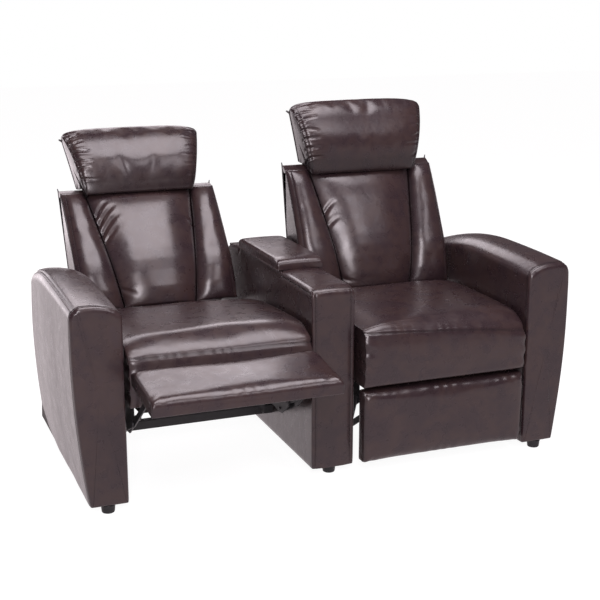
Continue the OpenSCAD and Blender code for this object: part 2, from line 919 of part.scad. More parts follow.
// Back. Its seams lie on a curve over the rear face: shares of the length from the
// cushions' foot to the top seam, and shares of the taper in thickness.
seam_shares = [[0, 0], [0.14, -0.03], [0.27, 0.01], [0.36, 0.08], [0.45, 0.18],
    [0.6, 0.38], [0.76, 0.6], [0.9, 0.82], [1, 1]];
seam_top_l = back_l - back_seam_drop;
board_front = back_cover_t + back_board;
back_steps = 12;
function seam_n(t) = blend(back_t, back_top_t, curve(seam_shares, t));
function inner_seam_n(t) = seam_n(t) + seam_step*(1 - 0.5*t);
function panel_half(t) = blend(panel_foot_w, panel_top_w, t)/2;
function back_v(t) = blend(back_foot_l, seam_top_l, t);
// Fullness of a cushion along its length: nought at its ends, one between them
function full(t) = pow(max(0, 1 - pow(abs(2*t - 1), 6)), 0.5);
// The lower edge of the cushions follows the seat, rising a little to the front
function foot_rise(n, t) = (1 - t)*(n - board_front)*0.02;

module back_frame(side) {
    half = back_w/2 - back_cover_t;
    color(timber) on_back(side) {
        bar_at(-half, half, -board_front, -back_cover_t, back_foot_l + back_cover_t, seam_top_l);
    }
}

module back_cover(side) {
    half = back_w/2;
    low = back_foot_l;
    color(leather) on_back(side) {
        side_sheet(-half, back_w) {
            polygon([
                [0, low],
                [0, seam_top_l],
                [back_cover_t/2, back_l],
                [-back_cover_t/2, back_l],
                [-board_front - soft_gap, seam_top_l + back_cover_t],
                [-board_front - soft_gap, seam_top_l],
                [-back_cover_t, seam_top_l],
                [-back_cover_t, low]
            ]);
        }
    }
}

module back_brackets(side) {
    w = 2*main_pin_d;
    top_l = back_foot_l*1.9;
    color(steel) on_back(side) {
        both_sides() {
            pin_at([0, 0], plate_x, plate_t, w);
            bar_at(plate_x, plate_x + plate_t, -board_front - link_t, 0, 0, back_foot_l - back_cover_t);
            bar_at(plate_x, plate_x + plate_t, -board_front - link_t, -board_front,
                back_foot_l*0.6, top_l);
            bar_at(plate_x - w, plate_x + plate_t, -board_front - link_t, -board_front,
                back_foot_l, top_l);
            pin_at([0, 0], back_link_x, link_t + link_gap, main_pin_d);
        }
        ratchet_ears();
    }
}

module back_links(side) {
    open = openness(side);
    top = back_link_pivot + upright(back_link_angle(open), back_link_l);
    color(steel) on_seat(side) {
        both_sides() {
            difference() {
                link_bar(back_link_pivot, top, back_link_x);
                bore_at(top, back_link_x, link_t, main_pin_d);
            }
            pin_at(back_link_pivot, back_link_x + link_t, link_gap + plate_t, main_pin_d);
        }
    }
}

panel_across_shares = [1, 0.93, 0.75, 0.45, 0.15, -0.15, -0.45, -0.75, -0.93, -1];
function crown_at(x) = pow(max(0, 1 - pow(abs(x), 2.6)), 0.8);

module back_panel_cushion(side) {
    foot_n = board_front + link_t + soft_gap;
    rings = [for (i = [0:back_steps])
        let (t = i/back_steps, half = panel_half(t))
        concat(
            [[-half, -foot_n, back_v(t)], [half, -foot_n, back_v(t)]],
            [for (x = panel_across_shares)
                let (n = max(foot_n + soft_gap, inner_seam_n(t) + panel_crown*full(t)*crown_at(x)))
                [x*half, -n, back_v(t) + foot_rise(n, t)]])];
    color(leather) on_back(side) {
        difference() {
            skin(rings);
            ratchet_room();
        }
    }
}

bolster_across_shares = [1, 0.9, 0.7, 0.45, 0.2, 0.06, 0];

module back_bolsters(side) {
    foot_n = board_front + link_t + soft_gap;
    rings = [for (i = [0:back_steps])
        let (t = i/back_steps, inner = panel_half(t) + soft_gap, wide = back_w/2 - inner)
        concat(
            [[inner, -foot_n, back_v(t)], [back_w/2, -foot_n, back_v(t)]],
            [for (x = bolster_across_shares)
                let (seam = blend(inner_seam_n(t), seam_n(t), x),
                    n = max(foot_n + soft_gap, seam + bolster_crown*full(t)*crown_at(2*x - 1)))
                [inner + x*wide, -n, back_v(t) + foot_rise(n, t)]])];
    color(leather) on_back(side) {
        both_sides() {
            skin(rings);
        }
    }
}

// Headrest. It turns on a ratchet pivot in the top edge of the back's frame.
ratchet_v = seam_top_l - ratchet_drop;
ratchet_n = board_front + ratchet_ahead;
ratchet_x = headrest_foot_w/4;
headrest_foot_v = back_l - headrest_sink;
// Shares of the headrest's thickness and height around its side outline
headrest_shares = [
    [0, 0.08], [0.2, 0.045], [0.5, 0.015], [0.85, 0], [0.97, 0.03], [1, 0.12], [0.985, 0.3],
    [0.93, 0.52], [0.84, 0.7], [0.74, 0.85], [0.66, 0.95], [0.58, 1], [0.48, 0.99],
    [0.4, 0.95], [0.355, 0.87], [0.22, 0.58], [0.1, 0.31]
];
headrest_side_shares = [-1, -0.985, -0.92, -0.75, -0.4, 0, 0.4, 0.75, 0.92, 0.985, 1];
headrest_rear_n = -headrest_overhang;

module headrest_cushion(side) {
    rings = [for (s = headrest_side_shares)
        let (swell = pow(max(0, 1 - pow(abs(s), 4)), 0.5))
        [for (p = headrest_shares)
            let (half = blend(headrest_foot_w, headrest_top_w, p[1])/2,
                top = 1 - 0.1*(1 - swell)*p[1],
                n = headrest_rear_n + p[0]*(headrest_t + headrest_crown*(swell - 1)))
            [s*half, -n, headrest_foot_v + p[1]*top*headrest_h]]];
    color(leather) on_back(side) {
        difference() {
            skin(rings);
            headrest_core(soft_gap);
            ratchet_arms(soft_gap);
        }
    }
}

core_t = 12;
core_lift = 40;

module headrest_core(grow) {
    half = headrest_foot_w/2 - 2*core_lift;
    bar_at(-half - grow, half + grow, -ratchet_n - core_t/2 - grow, -ratchet_n + core_t/2 + grow,
        headrest_foot_v + core_lift/2 - grow, headrest_foot_v + headrest_h - 2*core_lift + grow);
}

module ratchet_arms(grow) {
    w = ratchet_w/2 + grow;
    both_sides() {
        bar_at(ratchet_x - w, ratchet_x + w, -ratchet_n - w, -ratchet_n + w,
            ratchet_v, headrest_foot_v + core_lift + grow);
    }
}

// Ears on the back's panel that hold the headrest's pins
module ratchet_ears() {
    x = ratchet_x + ratchet_w/2 + link_gap;
    both_sides() {
        difference() {
            bar_at(x, x + link_t, -ratchet_n - ratchet_w/2, -board_front,
                ratchet_v - ratchet_w, ratchet_v + ratchet_w/2);
            translate([0, -ratchet_n, ratchet_v]) {
                bore_at([0, 0], x, link_t, ratchet_w*0.6);
            }
        }
    }
}

// Room for the arms, the ears and the swing of the arms in the middle cushion
module ratchet_room() {
    both_sides() {
        bar_at(ratchet_x - ratchet_w, ratchet_x + ratchet_w + link_t, -back_t, -board_front,
            ratchet_v - 1.5*ratchet_w, back_l);
    }
}

module headrest_frame(side) {
    color(steel) on_back(side) {
        headrest_core(0);
        ratchet_arms(0);
        both_sides() {
            translate([0, -ratchet_n, ratchet_v]) {
                pin_at([0, 0], ratchet_x - ratchet_w/2, ratchet_w, ratchet_w);
                pin_at([0, 0], ratchet_x, ratchet_w/2 + link_gap + link_t, ratchet_w*0.6);
            }
        }
    }
}

// Footrest and its links, drawn closed and then moved
module front_cranks(side) {
    color(steel) on_seat(side) {
        turned_about(front_crank_pivot, openness(side)*crank_swing) {
            both_sides() {
                difference() {
                    link_bar(front_crank_pivot, front_crank_low, crank_x);
                    bore_at(front_crank_low, crank_x, link_t, pin_d);
                }
                pin_at(front_crank_pivot, plate_x - link_t, link_t + plate_t + link_gap, pin_d);
            }
        }
    }
}

module rear_cranks(side) {
    color(steel) on_seat(side) {
        turned_about(rear_crank_pivot, openness(side)*crank_swing) {
            both_sides() {
                difference() {
                    link_bar(rear_crank_pivot, rear_crank_low, outer_x);
                    bore_at(rear_crank_low, outer_x, link_t, pin_d + link_t);
                }
                pin_at(rear_crank_pivot, plate_x - link_t, outer_x - plate_x + link_t, pin_d);
            }
        }
    }
}

module couplers(side) {
    color(steel) on_coupler(side) {
        both_sides() {
            difference() {
                link_bar(rear_crank_low, board_pin, coupler_x);
                bore_at(board_pin, coupler_x, link_t, pin_d);
            }
            pin_at(front_crank_low, crank_x, coupler_x - crank_x, pin_d);
            pin_at(rear_crank_low, coupler_x + link_t, link_gap + link_t, pin_d);
        }
    }
}

module footrest_brackets(side) {
    ear = link_w;
    color(steel) on_footrest(side) {
        both_sides() {
            pin_at(board_pin, outer_x, link_t, ear);
            pin_at(board_pin, coupler_x, link_t + link_gap, pin_d);
            bar_at(outer_x, outer_x + link_t, board_back_y, board_pin[0],
                board_pin[1] - ear/2, board_pin[1] + ear/2);
            bar_at(outer_x, outer_x + link_t, board_back_y, board_back_y + link_t,
                board_pin[1] - 2*ear, board_pin[1] + 2*ear);
        }
    }
}

module footrest_board(side) {
    half = footrest_w/2 - footrest_board_t;
    color(timber) on_footrest(side) {
        bar_at(-half, half, board_back_y - footrest_board_t, board_back_y,
            footrest_z + footrest_board_t, footrest_z + footrest_h - footrest_board_t);
    }
}

// Shares around the footrest pad's side outline: thickness from the front, height
edge_depth = footrest_r/footrest_t;
edge_rise = 1.6*footrest_r/footrest_h;
edge_angles = [0:22.5:90];
footrest_shares = concat(
    [[1, 0.01], [1, 0.5], [1, 0.99], [0.75, 1]],
    [for (a = edge_angles) [edge_depth*(1 - sin(a)), 1 - edge_rise*(1 - cos(a))]],
    [[0, 0.7], [0, 0.5], [0, 0.3]],
    [for (a = edge_angles) [edge_depth*(1 - cos(a)), edge_rise*(1 - sin(a))]],
    [[0.75, 0]]
);
footrest_side_shares = [[-1, 0.1], [-0.988, 0.03], [-0.94, 0], [-0.6, -0.06], [0, -0.1],
    [0.6, -0.06], [0.94, 0], [0.988, 0.03], [1, 0.1]];

module footrest_pad(side) {
    rings = [for (s = footrest_side_shares)
        [for (p = footrest_shares)
            let (swell = p[0] < 0.01 ? s[1]*(1 - pow(abs(2*p[1] - 1), 3)) + 0.1 : 0.1)
            [-s[0]*footrest_w/2,
                footrest_front_y + footrest_t*(p[0] < 0.5 ? blend(p[0], 1, max(swell, 0)*0.3) : p[0]),
                footrest_z + p[1]*footrest_h]]];
    half = footrest_w/2 - footrest_board_t;
    color(leather) on_footrest(side) {
        difference() {
            skin(rings);
            bar_at(-half, half, board_back_y - footrest_board_t, board_back_y + overrun,
                footrest_z + footrest_board_t, footrest_z + footrest_h - footrest_board_t);
        }
    }
}

arm_frame(left);  // left_arm_frame
arm_covers(left);  // left_arm_covers
arm_front_pad(left);  // left_arm_front_pad
arm_top_pad(left);  // left_arm_top_pad
arm_frame(right);  // right_arm_frame
arm_covers(right);  // right_arm_covers
arm_front_pad(right);  // right_arm_front_pad
arm_top_pad(right);  // right_arm_top_pad
console_box();
console_covers();
console_front_pad();
console_top_pad();
console_rear_pad();
console_tray();
console_hinge();
lid_board();
lid_pad();
lid_hinge();
feet();
front_cross_tubes();
rear_cross_tubes();
base_rails(left);  // left_base_rails
base_rails(right);  // right_base_rails
seat_frame(left);  // left_seat_frame
side_plates(left);  // left_side_plates
seat_cushion(left);  // left_seat_cushion
seat_tongue(left);  // left_seat_tongue
back_links(left);  // left_back_links
back_frame(left);  // left_back_frame
back_brackets(left);  // left_back_brackets
back_panel_cushion(left);  // left_back_panel_cushion
back_bolsters(left);  // left_back_bolsters
back_cover(left);  // left_back_cover
headrest_frame(left);  // left_headrest_frame
headrest_cushion(left);  // left_headrest_cushion
front_cranks(left);  // left_front_cranks
rear_cranks(left);  // left_rear_cranks
couplers(left);  // left_couplers
footrest_board(left);  // left_footrest_board
footrest_brackets(left);  // left_footrest_brackets
footrest_pad(left);  // left_footrest_pad
seat_frame(right);  // right_seat_frame
side_plates(right);  // right_side_plates
seat_cushion(right);  // right_seat_cushion
seat_tongue(right);  // right_seat_tongue
back_links(right);  // right_back_links
back_frame(right);  // right_back_frame
back_brackets(right);  // right_back_brackets
back_panel_cushion(right);  // right_back_panel_cushion
back_bolsters(right);  // right_back_bolsters
back_cover(right);  // right_back_cover
headrest_frame(right);  // right_headrest_frame
headrest_cushion(right);  // right_headrest_cushion
front_cranks(right);  // right_front_cranks
rear_cranks(right);  // right_rear_cranks
couplers(right);  // right_couplers
footrest_board(right);  // right_footrest_board
footrest_brackets(right);  // right_footrest_brackets
footrest_pad(right);  // right_footrest_pad
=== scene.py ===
"""Looks of a two-seat cinema recliner row: leather, stitching, steel, light and camera.

Every length is in millimetres in the row's frame until a mesh is made. The left seat is
drawn reclined with its footrest out, and the right seat is drawn closed.
"""

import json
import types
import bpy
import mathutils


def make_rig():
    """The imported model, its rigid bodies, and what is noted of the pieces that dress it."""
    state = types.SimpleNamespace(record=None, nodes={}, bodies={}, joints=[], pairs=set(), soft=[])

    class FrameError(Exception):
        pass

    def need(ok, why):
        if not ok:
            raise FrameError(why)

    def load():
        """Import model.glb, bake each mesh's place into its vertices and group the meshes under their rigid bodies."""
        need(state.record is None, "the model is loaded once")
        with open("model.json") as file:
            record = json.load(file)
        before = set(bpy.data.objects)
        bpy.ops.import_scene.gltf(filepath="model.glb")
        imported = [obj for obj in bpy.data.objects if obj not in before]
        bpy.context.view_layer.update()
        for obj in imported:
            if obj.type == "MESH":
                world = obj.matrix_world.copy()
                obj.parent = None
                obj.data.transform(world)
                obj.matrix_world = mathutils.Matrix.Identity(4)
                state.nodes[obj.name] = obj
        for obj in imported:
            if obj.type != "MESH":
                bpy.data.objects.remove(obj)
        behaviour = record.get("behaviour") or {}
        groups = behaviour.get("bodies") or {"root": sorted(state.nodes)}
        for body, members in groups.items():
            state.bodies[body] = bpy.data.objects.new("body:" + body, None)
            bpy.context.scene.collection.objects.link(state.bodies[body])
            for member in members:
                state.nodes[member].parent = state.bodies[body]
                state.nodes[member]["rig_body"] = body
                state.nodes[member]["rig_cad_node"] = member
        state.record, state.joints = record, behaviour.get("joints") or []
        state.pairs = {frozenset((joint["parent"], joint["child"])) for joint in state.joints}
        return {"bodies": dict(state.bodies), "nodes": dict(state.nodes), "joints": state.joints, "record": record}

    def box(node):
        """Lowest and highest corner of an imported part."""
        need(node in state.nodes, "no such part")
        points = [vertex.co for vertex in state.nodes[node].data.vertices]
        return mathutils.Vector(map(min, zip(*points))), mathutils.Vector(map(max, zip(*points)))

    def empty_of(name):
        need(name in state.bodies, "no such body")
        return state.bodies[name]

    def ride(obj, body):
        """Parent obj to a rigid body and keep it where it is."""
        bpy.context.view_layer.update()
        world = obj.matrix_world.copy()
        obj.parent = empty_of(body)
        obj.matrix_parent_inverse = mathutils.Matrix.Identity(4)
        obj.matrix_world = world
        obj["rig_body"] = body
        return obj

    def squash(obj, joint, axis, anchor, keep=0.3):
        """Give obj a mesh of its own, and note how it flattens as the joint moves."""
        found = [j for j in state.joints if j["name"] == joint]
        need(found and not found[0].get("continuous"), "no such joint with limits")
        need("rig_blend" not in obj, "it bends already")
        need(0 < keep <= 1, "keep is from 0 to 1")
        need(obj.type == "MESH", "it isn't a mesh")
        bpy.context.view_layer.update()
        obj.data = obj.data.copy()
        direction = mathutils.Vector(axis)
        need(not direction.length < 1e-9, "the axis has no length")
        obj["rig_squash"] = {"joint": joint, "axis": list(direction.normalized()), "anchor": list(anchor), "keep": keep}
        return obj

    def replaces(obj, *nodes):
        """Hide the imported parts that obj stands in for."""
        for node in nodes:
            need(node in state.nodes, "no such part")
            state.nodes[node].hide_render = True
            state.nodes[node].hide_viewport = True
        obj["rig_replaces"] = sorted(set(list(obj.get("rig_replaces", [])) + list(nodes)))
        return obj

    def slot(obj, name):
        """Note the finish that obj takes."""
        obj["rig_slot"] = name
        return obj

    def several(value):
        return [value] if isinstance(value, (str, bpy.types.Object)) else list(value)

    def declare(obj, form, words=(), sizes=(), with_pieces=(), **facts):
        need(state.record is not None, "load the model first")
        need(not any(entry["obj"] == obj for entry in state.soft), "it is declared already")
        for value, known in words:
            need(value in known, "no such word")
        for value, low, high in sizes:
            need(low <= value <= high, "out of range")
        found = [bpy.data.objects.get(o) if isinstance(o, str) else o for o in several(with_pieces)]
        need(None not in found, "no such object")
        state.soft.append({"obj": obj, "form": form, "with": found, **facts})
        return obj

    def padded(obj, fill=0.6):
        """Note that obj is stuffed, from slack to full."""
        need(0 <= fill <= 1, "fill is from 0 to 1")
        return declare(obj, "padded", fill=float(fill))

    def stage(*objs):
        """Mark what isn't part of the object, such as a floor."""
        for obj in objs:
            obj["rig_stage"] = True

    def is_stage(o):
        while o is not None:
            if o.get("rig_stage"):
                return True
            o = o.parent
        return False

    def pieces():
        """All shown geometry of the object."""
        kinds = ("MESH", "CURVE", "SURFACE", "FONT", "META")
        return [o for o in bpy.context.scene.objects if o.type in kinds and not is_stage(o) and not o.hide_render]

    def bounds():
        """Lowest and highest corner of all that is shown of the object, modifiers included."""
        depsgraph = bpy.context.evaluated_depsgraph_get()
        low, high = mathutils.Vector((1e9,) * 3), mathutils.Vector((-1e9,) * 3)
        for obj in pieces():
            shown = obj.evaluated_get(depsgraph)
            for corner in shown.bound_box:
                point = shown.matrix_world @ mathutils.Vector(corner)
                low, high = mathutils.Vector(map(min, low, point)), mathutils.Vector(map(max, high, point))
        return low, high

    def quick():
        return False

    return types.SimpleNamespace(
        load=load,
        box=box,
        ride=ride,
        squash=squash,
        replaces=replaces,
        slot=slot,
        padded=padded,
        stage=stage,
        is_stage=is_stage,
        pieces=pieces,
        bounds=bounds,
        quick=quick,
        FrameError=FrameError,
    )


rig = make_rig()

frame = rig.load()

import json
import logging
import math
from dataclasses import dataclass, field
from enum import Enum
from typing import Callable, Sequence

import bpy
import numpy as np
from bpy.types import Material, Node, NodeSocket, NodeTree, Object

log = logging.getLogger("recliner_row")
Array = np.ndarray
Field = Callable[[Array], Array]
MM = 0.001


class Slot(Enum):
    """Material slots of the record."""

    LEATHER = "leather"
    TIMBER = "timber"
    STEEL = "steel"
    PLASTIC = "plastic"


class Side(Enum):
    """The two seats and arms of the row."""

    LEFT = -1
    RIGHT = 1

    @property
    def label(self) -> str:
        """Name as the nodes spell it."""
        return self.name.lower()

    @property
    def sign(self) -> int:
        """Direction along the row."""
        return self.value


# Curves and shapes


def blend(a: float, b: float, share: float) -> float:
    """Value between a and b at a share of the way."""
    return a + (b - a) * share


def curve_at(points: Array, places: Array, closed: bool = True) -> Array:
    """Reads a smooth curve through control points.

    Args:
        points: Control points, one per row.
        places: Index places to read, where 1.5 is halfway from point 1 to point 2.
        closed: Whether the curve runs back to its first point.

    Returns:
        One row per place.
    """
    count = len(points)
    base = np.floor(places).astype(int)
    f = (places - base)[:, None]
    picks = []
    for step in (-1, 0, 1, 2):
        index = base + step
        index = index % count if closed else np.clip(index, 0, count - 1)
        picks.append(points[index])
    a, b, c, d = picks
    return 0.5 * (2 * b + (c - a) * f + (2 * a - 5 * b + 4 * c - d) * f**2
                  + (3 * b - a - 3 * c + d) * f**3)


def even_places(points: Array, count: int, closed: bool = True) -> Array:
    """Index places that lie evenly along the smooth curve through the points."""
    last = len(points) if closed else len(points) - 1
    fine = np.linspace(0, last, 60 * last + 1)
    read = curve_at(points, fine, closed)
    run = np.concatenate([[0], np.cumsum(np.linalg.norm(np.diff(read, axis=0), axis=1))])
    return np.interp(np.linspace(0, run[-1], count, endpoint=not closed), run, fine)


def smooth_line(points: Sequence[Sequence[float]], count: int, closed: bool = False) -> Array:
    """Evenly spaced points on the smooth curve through the given ones."""
    control = np.asarray(points, float)
    return curve_at(control, even_places(control, count, closed), closed)


@dataclass
class Shape:
    """A surface of quads and triangles in a piece's own millimetres."""

    points: Array
    quads: Array = field(default_factory=lambda: np.zeros((0, 4), int))
    tris: Array = field(default_factory=lambda: np.zeros((0, 3), int))

    def flipped(self, points: Array) -> "Shape":
        """The shape at other points, with its faces looking the other way."""
        return Shape(points, self.quads[:, ::-1], self.tris[:, ::-1])

    def mirrored(self) -> "Shape":
        """The shape mirrored across x."""
        return self.flipped(self.points * [-1, 1, 1])

    def normals(self) -> Array:
        """Unit normals at the points."""
        p = self.points
        out = np.zeros_like(p)
        for faces, ends in ((self.quads, (2, 0, 3, 1)), (self.tris, (1, 0, 2, 0))):
            a, b, c, d = (p[faces[:, k]] for k in ends)
            n = np.cross(a - b, c - d)
            for corner in faces.T:
                np.add.at(out, corner, n)
        length = np.linalg.norm(out, axis=1, keepdims=True)
        return out / np.maximum(length, 1e-12)

    def volume(self) -> float:
        """Signed volume, below zero where the faces look inwards."""
        p, q, t = self.points, self.quads, self.tris
        corners = np.vstack([q[:, [0, 1, 2]], q[:, [0, 2, 3]], t])
        a, b, c = p[corners[:, 0]], p[corners[:, 1]], p[corners[:, 2]]
        return float(np.einsum("ij,ij->i", a, np.cross(b, c)).sum() / 6)

    def outward(self) -> "Shape":
        """The shape with its faces looking outwards."""
        return self.flipped(self.points) if self.volume() < 0 else self

    def moved_to(self, points: Array) -> "Shape":
        """The shape with its points elsewhere."""
        return Shape(points, self.quads, self.tris)

    def raised(self, height: Array) -> "Shape":
        """The shape with its points moved along their normals by a height each."""
        return self.moved_to(self.points + self.normals() * height[:, None])

    def evened(self, field: Array, times: int) -> Array:
        """A field of vectors averaged with its neighbours' a number of times."""
        loops = [(f.ravel(), np.roll(f, -1, axis=1).ravel()) for f in (self.quads, self.tris)]
        near = np.concatenate([pair[0] for pair in loops])
        far = np.concatenate([pair[1] for pair in loops])
        share = np.bincount(near, minlength=len(field))[:, None]
        kept = 0.4
        for _ in range(times):
            total = np.zeros_like(field)
            np.add.at(total, near, field[far])
            field = kept * field + (1 - kept) * total / np.maximum(share, 1)
        return field

    def finer(self) -> "Shape":
        """The shape after one step of smooth subdivision."""
        p, n = self.points, len(self.points)
        faces = (self.quads, self.tris)
        corners = np.concatenate([f.ravel() for f in faces])
        nexts = np.concatenate([np.roll(f, -1, axis=1).ravel() for f in faces])
        face_of = np.concatenate([np.repeat(np.arange(len(self.quads)), 4),
                                  np.repeat(np.arange(len(self.tris)), 3) + len(self.quads)])
        centre = np.vstack([p[f].mean(axis=1) for f in faces])
        edges, edge_of = np.unique(np.sort(columns(corners, nexts), axis=1), axis=0,
                                   return_inverse=True)
        edge_of = edge_of.ravel()
        middle = p[edges].mean(axis=1)
        beside, around, ends = np.zeros_like(middle), np.zeros_like(p), np.zeros_like(p)
        np.add.at(beside, edge_of, centre[face_of])
        np.add.at(around, corners, centre[face_of])
        for k in (0, 1):
            np.add.at(ends, edges[:, k], middle)
        valence = np.bincount(corners, minlength=n)[:, None]
        moved = (around / valence + 2 * ends / valence + (valence - 3) * p) / valence
        split = 4 * len(self.quads)
        before = np.concatenate([np.roll(edge_of[:split].reshape(-1, 4), 1, axis=1).ravel(),
                                 np.roll(edge_of[split:].reshape(-1, 3), 1, axis=1).ravel()])
        quads = columns(corners, n + edge_of, n + len(edges) + face_of, n + before)
        return Shape(np.vstack([moved, (2 * middle + beside) / 4, centre]), quads)


def columns(*parts: Array) -> Array:
    """The parts side by side, one row per point."""
    return np.stack(parts, axis=1)


def joined(shapes: Sequence[Shape]) -> Shape:
    """All the shapes as one."""
    starts = np.cumsum([0, *(len(shape.points) for shape in shapes[:-1])])
    return Shape(np.vstack([shape.points for shape in shapes]),
                 np.vstack([shape.quads + n for shape, n in zip(shapes, starts)]),
                 np.vstack([shape.tris + n for shape, n in zip(shapes, starts)]))


def on_both_sides(right: Shape) -> Shape:
    """The right-hand shape with its mirror image."""
    return joined([right, right.mirrored()])


def side_ring(x: float, flat: Array) -> Array:
    """Ring of a side outline's y and z at a place across."""
    return columns(np.full(len(flat), x), flat[:, 0], flat[:, 1])


def front_ring(y: float, flat: Array) -> Array:
    """Ring of a front outline's x and z at a depth."""
    return columns(flat[:, 0], np.full(len(flat), y), flat[:, 1])


def spread(edge: Sequence[float], inner: float, count: int) -> Array:
    """Places from -1 to 1, close together near both ends and even between.

    Args:
        edge: Places near the end, from the outermost inwards.
        inner: Place where the even ones begin.
        count: Count of the even ones.

    Returns:
        The places in order.
    """
    near = np.array([1.0, *edge])
    return np.concatenate([-near, np.linspace(-inner, inner, count), near[::-1]])


def wall(rings: Array) -> Shape:
    """Open wall of quads between closed rings of points."""
    m, n = rings.shape[:2]
    i, j = np.meshgrid(np.arange(m - 1), np.arange(n), indexing="ij")
    a = (i * n + j).ravel()
    b = (i * n + (j + 1) % n).ravel()
    return Shape(rings.reshape(-1, 3), columns(a, b, b + n, a + n))


def end_rings(ring: Array, away: Array, steps: int, dome: float, rim: float) -> list[Array]:
    """Rings that close a tube's end with a shallow dome.

    Args:
        ring: The tube's last ring.
        away: A point inside the tube, which the dome faces away from.
        steps: Count of rings to the middle.
        dome: Height of the dome.
        rim: Share of the ring that the first step leaves as the rounded rim.

    Returns:
        Rings from the rim inwards. The last is a small ring round the middle.
    """
    middle = ring.mean(axis=0)
    nxt = np.roll(ring, -1, axis=0)
    normal = np.cross(ring - middle, nxt - middle).sum(axis=0)
    normal /= np.linalg.norm(normal)
    if np.dot(normal, middle - away) < 0:
        normal = -normal
    shares = np.concatenate([[1 - rim], np.linspace(1 - rim, 0.02, steps + 1)[1:]])
    return [middle + (ring - middle) * s + normal * dome * (1 - s**2) for s in shares]


def skin(rings: Array, steps: int = 6, dome: tuple[float, float] = (0, 0),
         rim: float = 0.03) -> Shape:
    """Closed surface through rings, with domed ends.

    Args:
        rings: Rings by points by three.
        steps: Rings in each end.
        dome: Height of the first and of the last end's dome.
        rim: Share of each end that rounds into its dome at once.

    Returns:
        The closed shape, facing outwards.
    """
    inside = rings.reshape(-1, 3).mean(axis=0)
    first = end_rings(rings[0], inside, steps, dome[0], rim)[::-1]
    last = end_rings(rings[-1], inside, steps, dome[1], rim)
    stack = np.array([*first, *rings, *last])
    body = wall(stack)
    m, n = stack.shape[:2]
    poles = np.array([stack[0].mean(axis=0), stack[-1].mean(axis=0)])
    count = len(body.points)
    j = np.arange(n)
    k = (j + 1) % n
    low = columns(np.full(n, count), k, j)
    high = columns(np.full(n, count + 1), (m - 1) * n + j, (m - 1) * n + k)
    return Shape(np.vstack([body.points, poles]), body.quads, np.vstack([low, high])).outward()


def cord(path: Array, radius: Array, sides: int = 10) -> Shape:
    """Round cord along a path, closed at both ends.

    Args:
        path: Points along the cord's middle.
        radius: Radius at each point.
        sides: Points round the cord.

    Returns:
        The closed shape.
    """
    along = np.gradient(path, axis=0)
    along /= np.linalg.norm(along, axis=1, keepdims=True)
    up = np.array([0.0, 0.0, 1.0])
    if abs(np.dot(along[0], up)) > 0.9:
        up = np.array([1.0, 0.0, 0.0])
    rings = []
    angles = np.linspace(0, 2 * math.pi, sides, endpoint=False)
    for place, forward, r in zip(path, along, radius):
        across = np.cross(forward, up)
        across /= np.linalg.norm(across)
        up = np.cross(across, forward)
        rings.append(place + r * (np.outer(np.cos(angles), across)
                                  + np.outer(np.sin(angles), up)))
    return skin(np.array(rings), steps=1)


def stitches(path: Array, out: Array, length: float = 4.2, pitch: float = 6.0,
             radius: float = 0.55) -> Shape:
    """Row of sewn stitches along a path.

    Args:
        path: Points along the seam.
        out: Direction out of the leather, one row or one per point.
        length: Length of a stitch.
        pitch: Distance from stitch to stitch.
        radius: The thread's radius.

    Returns:
        All stitches as one shape.
    """
    out = np.broadcast_to(out, path.shape)
    run = np.concatenate([[0], np.cumsum(np.linalg.norm(np.diff(path, axis=0), axis=1))])
    made = []
    for start in np.arange(pitch / 2, run[-1] - length, pitch):
        at = start + length * np.array([0, 0.15, 0.5, 0.85, 1])
        line = np.stack([np.interp(at, run, path[:, k]) for k in range(3)], axis=1)
        lift = np.stack([np.interp(at, run, out[:, k]) for k in range(3)], axis=1)
        line += lift * np.array([-0.3, 0.35, 0.55, 0.35, -0.3])[:, None]
        made.append(cord(line, np.full(len(line), radius), 6))
    return joined(made)


def unit(share: Array) -> Array:
    """Share held between nought and one."""
    return np.clip(share, 0, 1)


def bell(distance: Array, width: float) -> Array:
    """One at no distance, falling off smoothly over a width."""
    return np.exp(-(distance / width)**2)


@dataclass(frozen=True)
class Fold:
    """A crease in leather, from a seam out to where it fades."""

    start: tuple[float, float]
    end: tuple[float, float]
    width: float
    depth: float
    bend: float = 0.0


def fold_height(flat: Array, folds: Sequence[Fold]) -> Array:
    """Height of folds over a flattened surface.

    Args:
        flat: Points on the flattened leather, two columns in millimetres.
        folds: The folds to lay.

    Returns:
        Height at each point.
    """
    lip = 1.7
    height = np.zeros(len(flat))
    for f in folds:
        start, end = np.array(f.start), np.array(f.end)
        reach = float(np.linalg.norm(end - start))
        along = (end - start) / reach
        across = np.array([-along[1], along[0]])
        rel = flat - start
        t = rel @ along / reach
        inside = unit(t)
        q = (rel @ across - f.bend * 4 * inside * (1 - inside)) / f.width
        fade = (1 - inside)**0.9 * np.exp(-np.maximum(0, -t * reach / f.width)**2)
        fade = fade * (t < 1)
        height += f.depth * fade * (-(1 - lip * q**2) * np.exp(-q**2))
    return height


def seam_gutter(distance: Array, width: float, depth: float) -> Array:
    """Height, below nought, of the gutter that stitching pulls into padding."""
    return -depth * bell(distance, width)


# Materials


def linear(colour: str) -> tuple[float, float, float, float]:
    """Linear colour of an sRGB hex value such as #4a3d42."""
    parts = [int(colour[i:i + 2], 16) / 255 for i in (1, 3, 5)]
    out = [c / 12.92 if c <= 0.04045 else ((c + 0.055) / 1.055)**2.4 for c in parts]
    return (out[0], out[1], out[2], 1.0)


def per_size(millimetres: float) -> float:
    """Texture scale at which a pattern repeats about once in this size."""
    return 1 / (millimetres * MM)


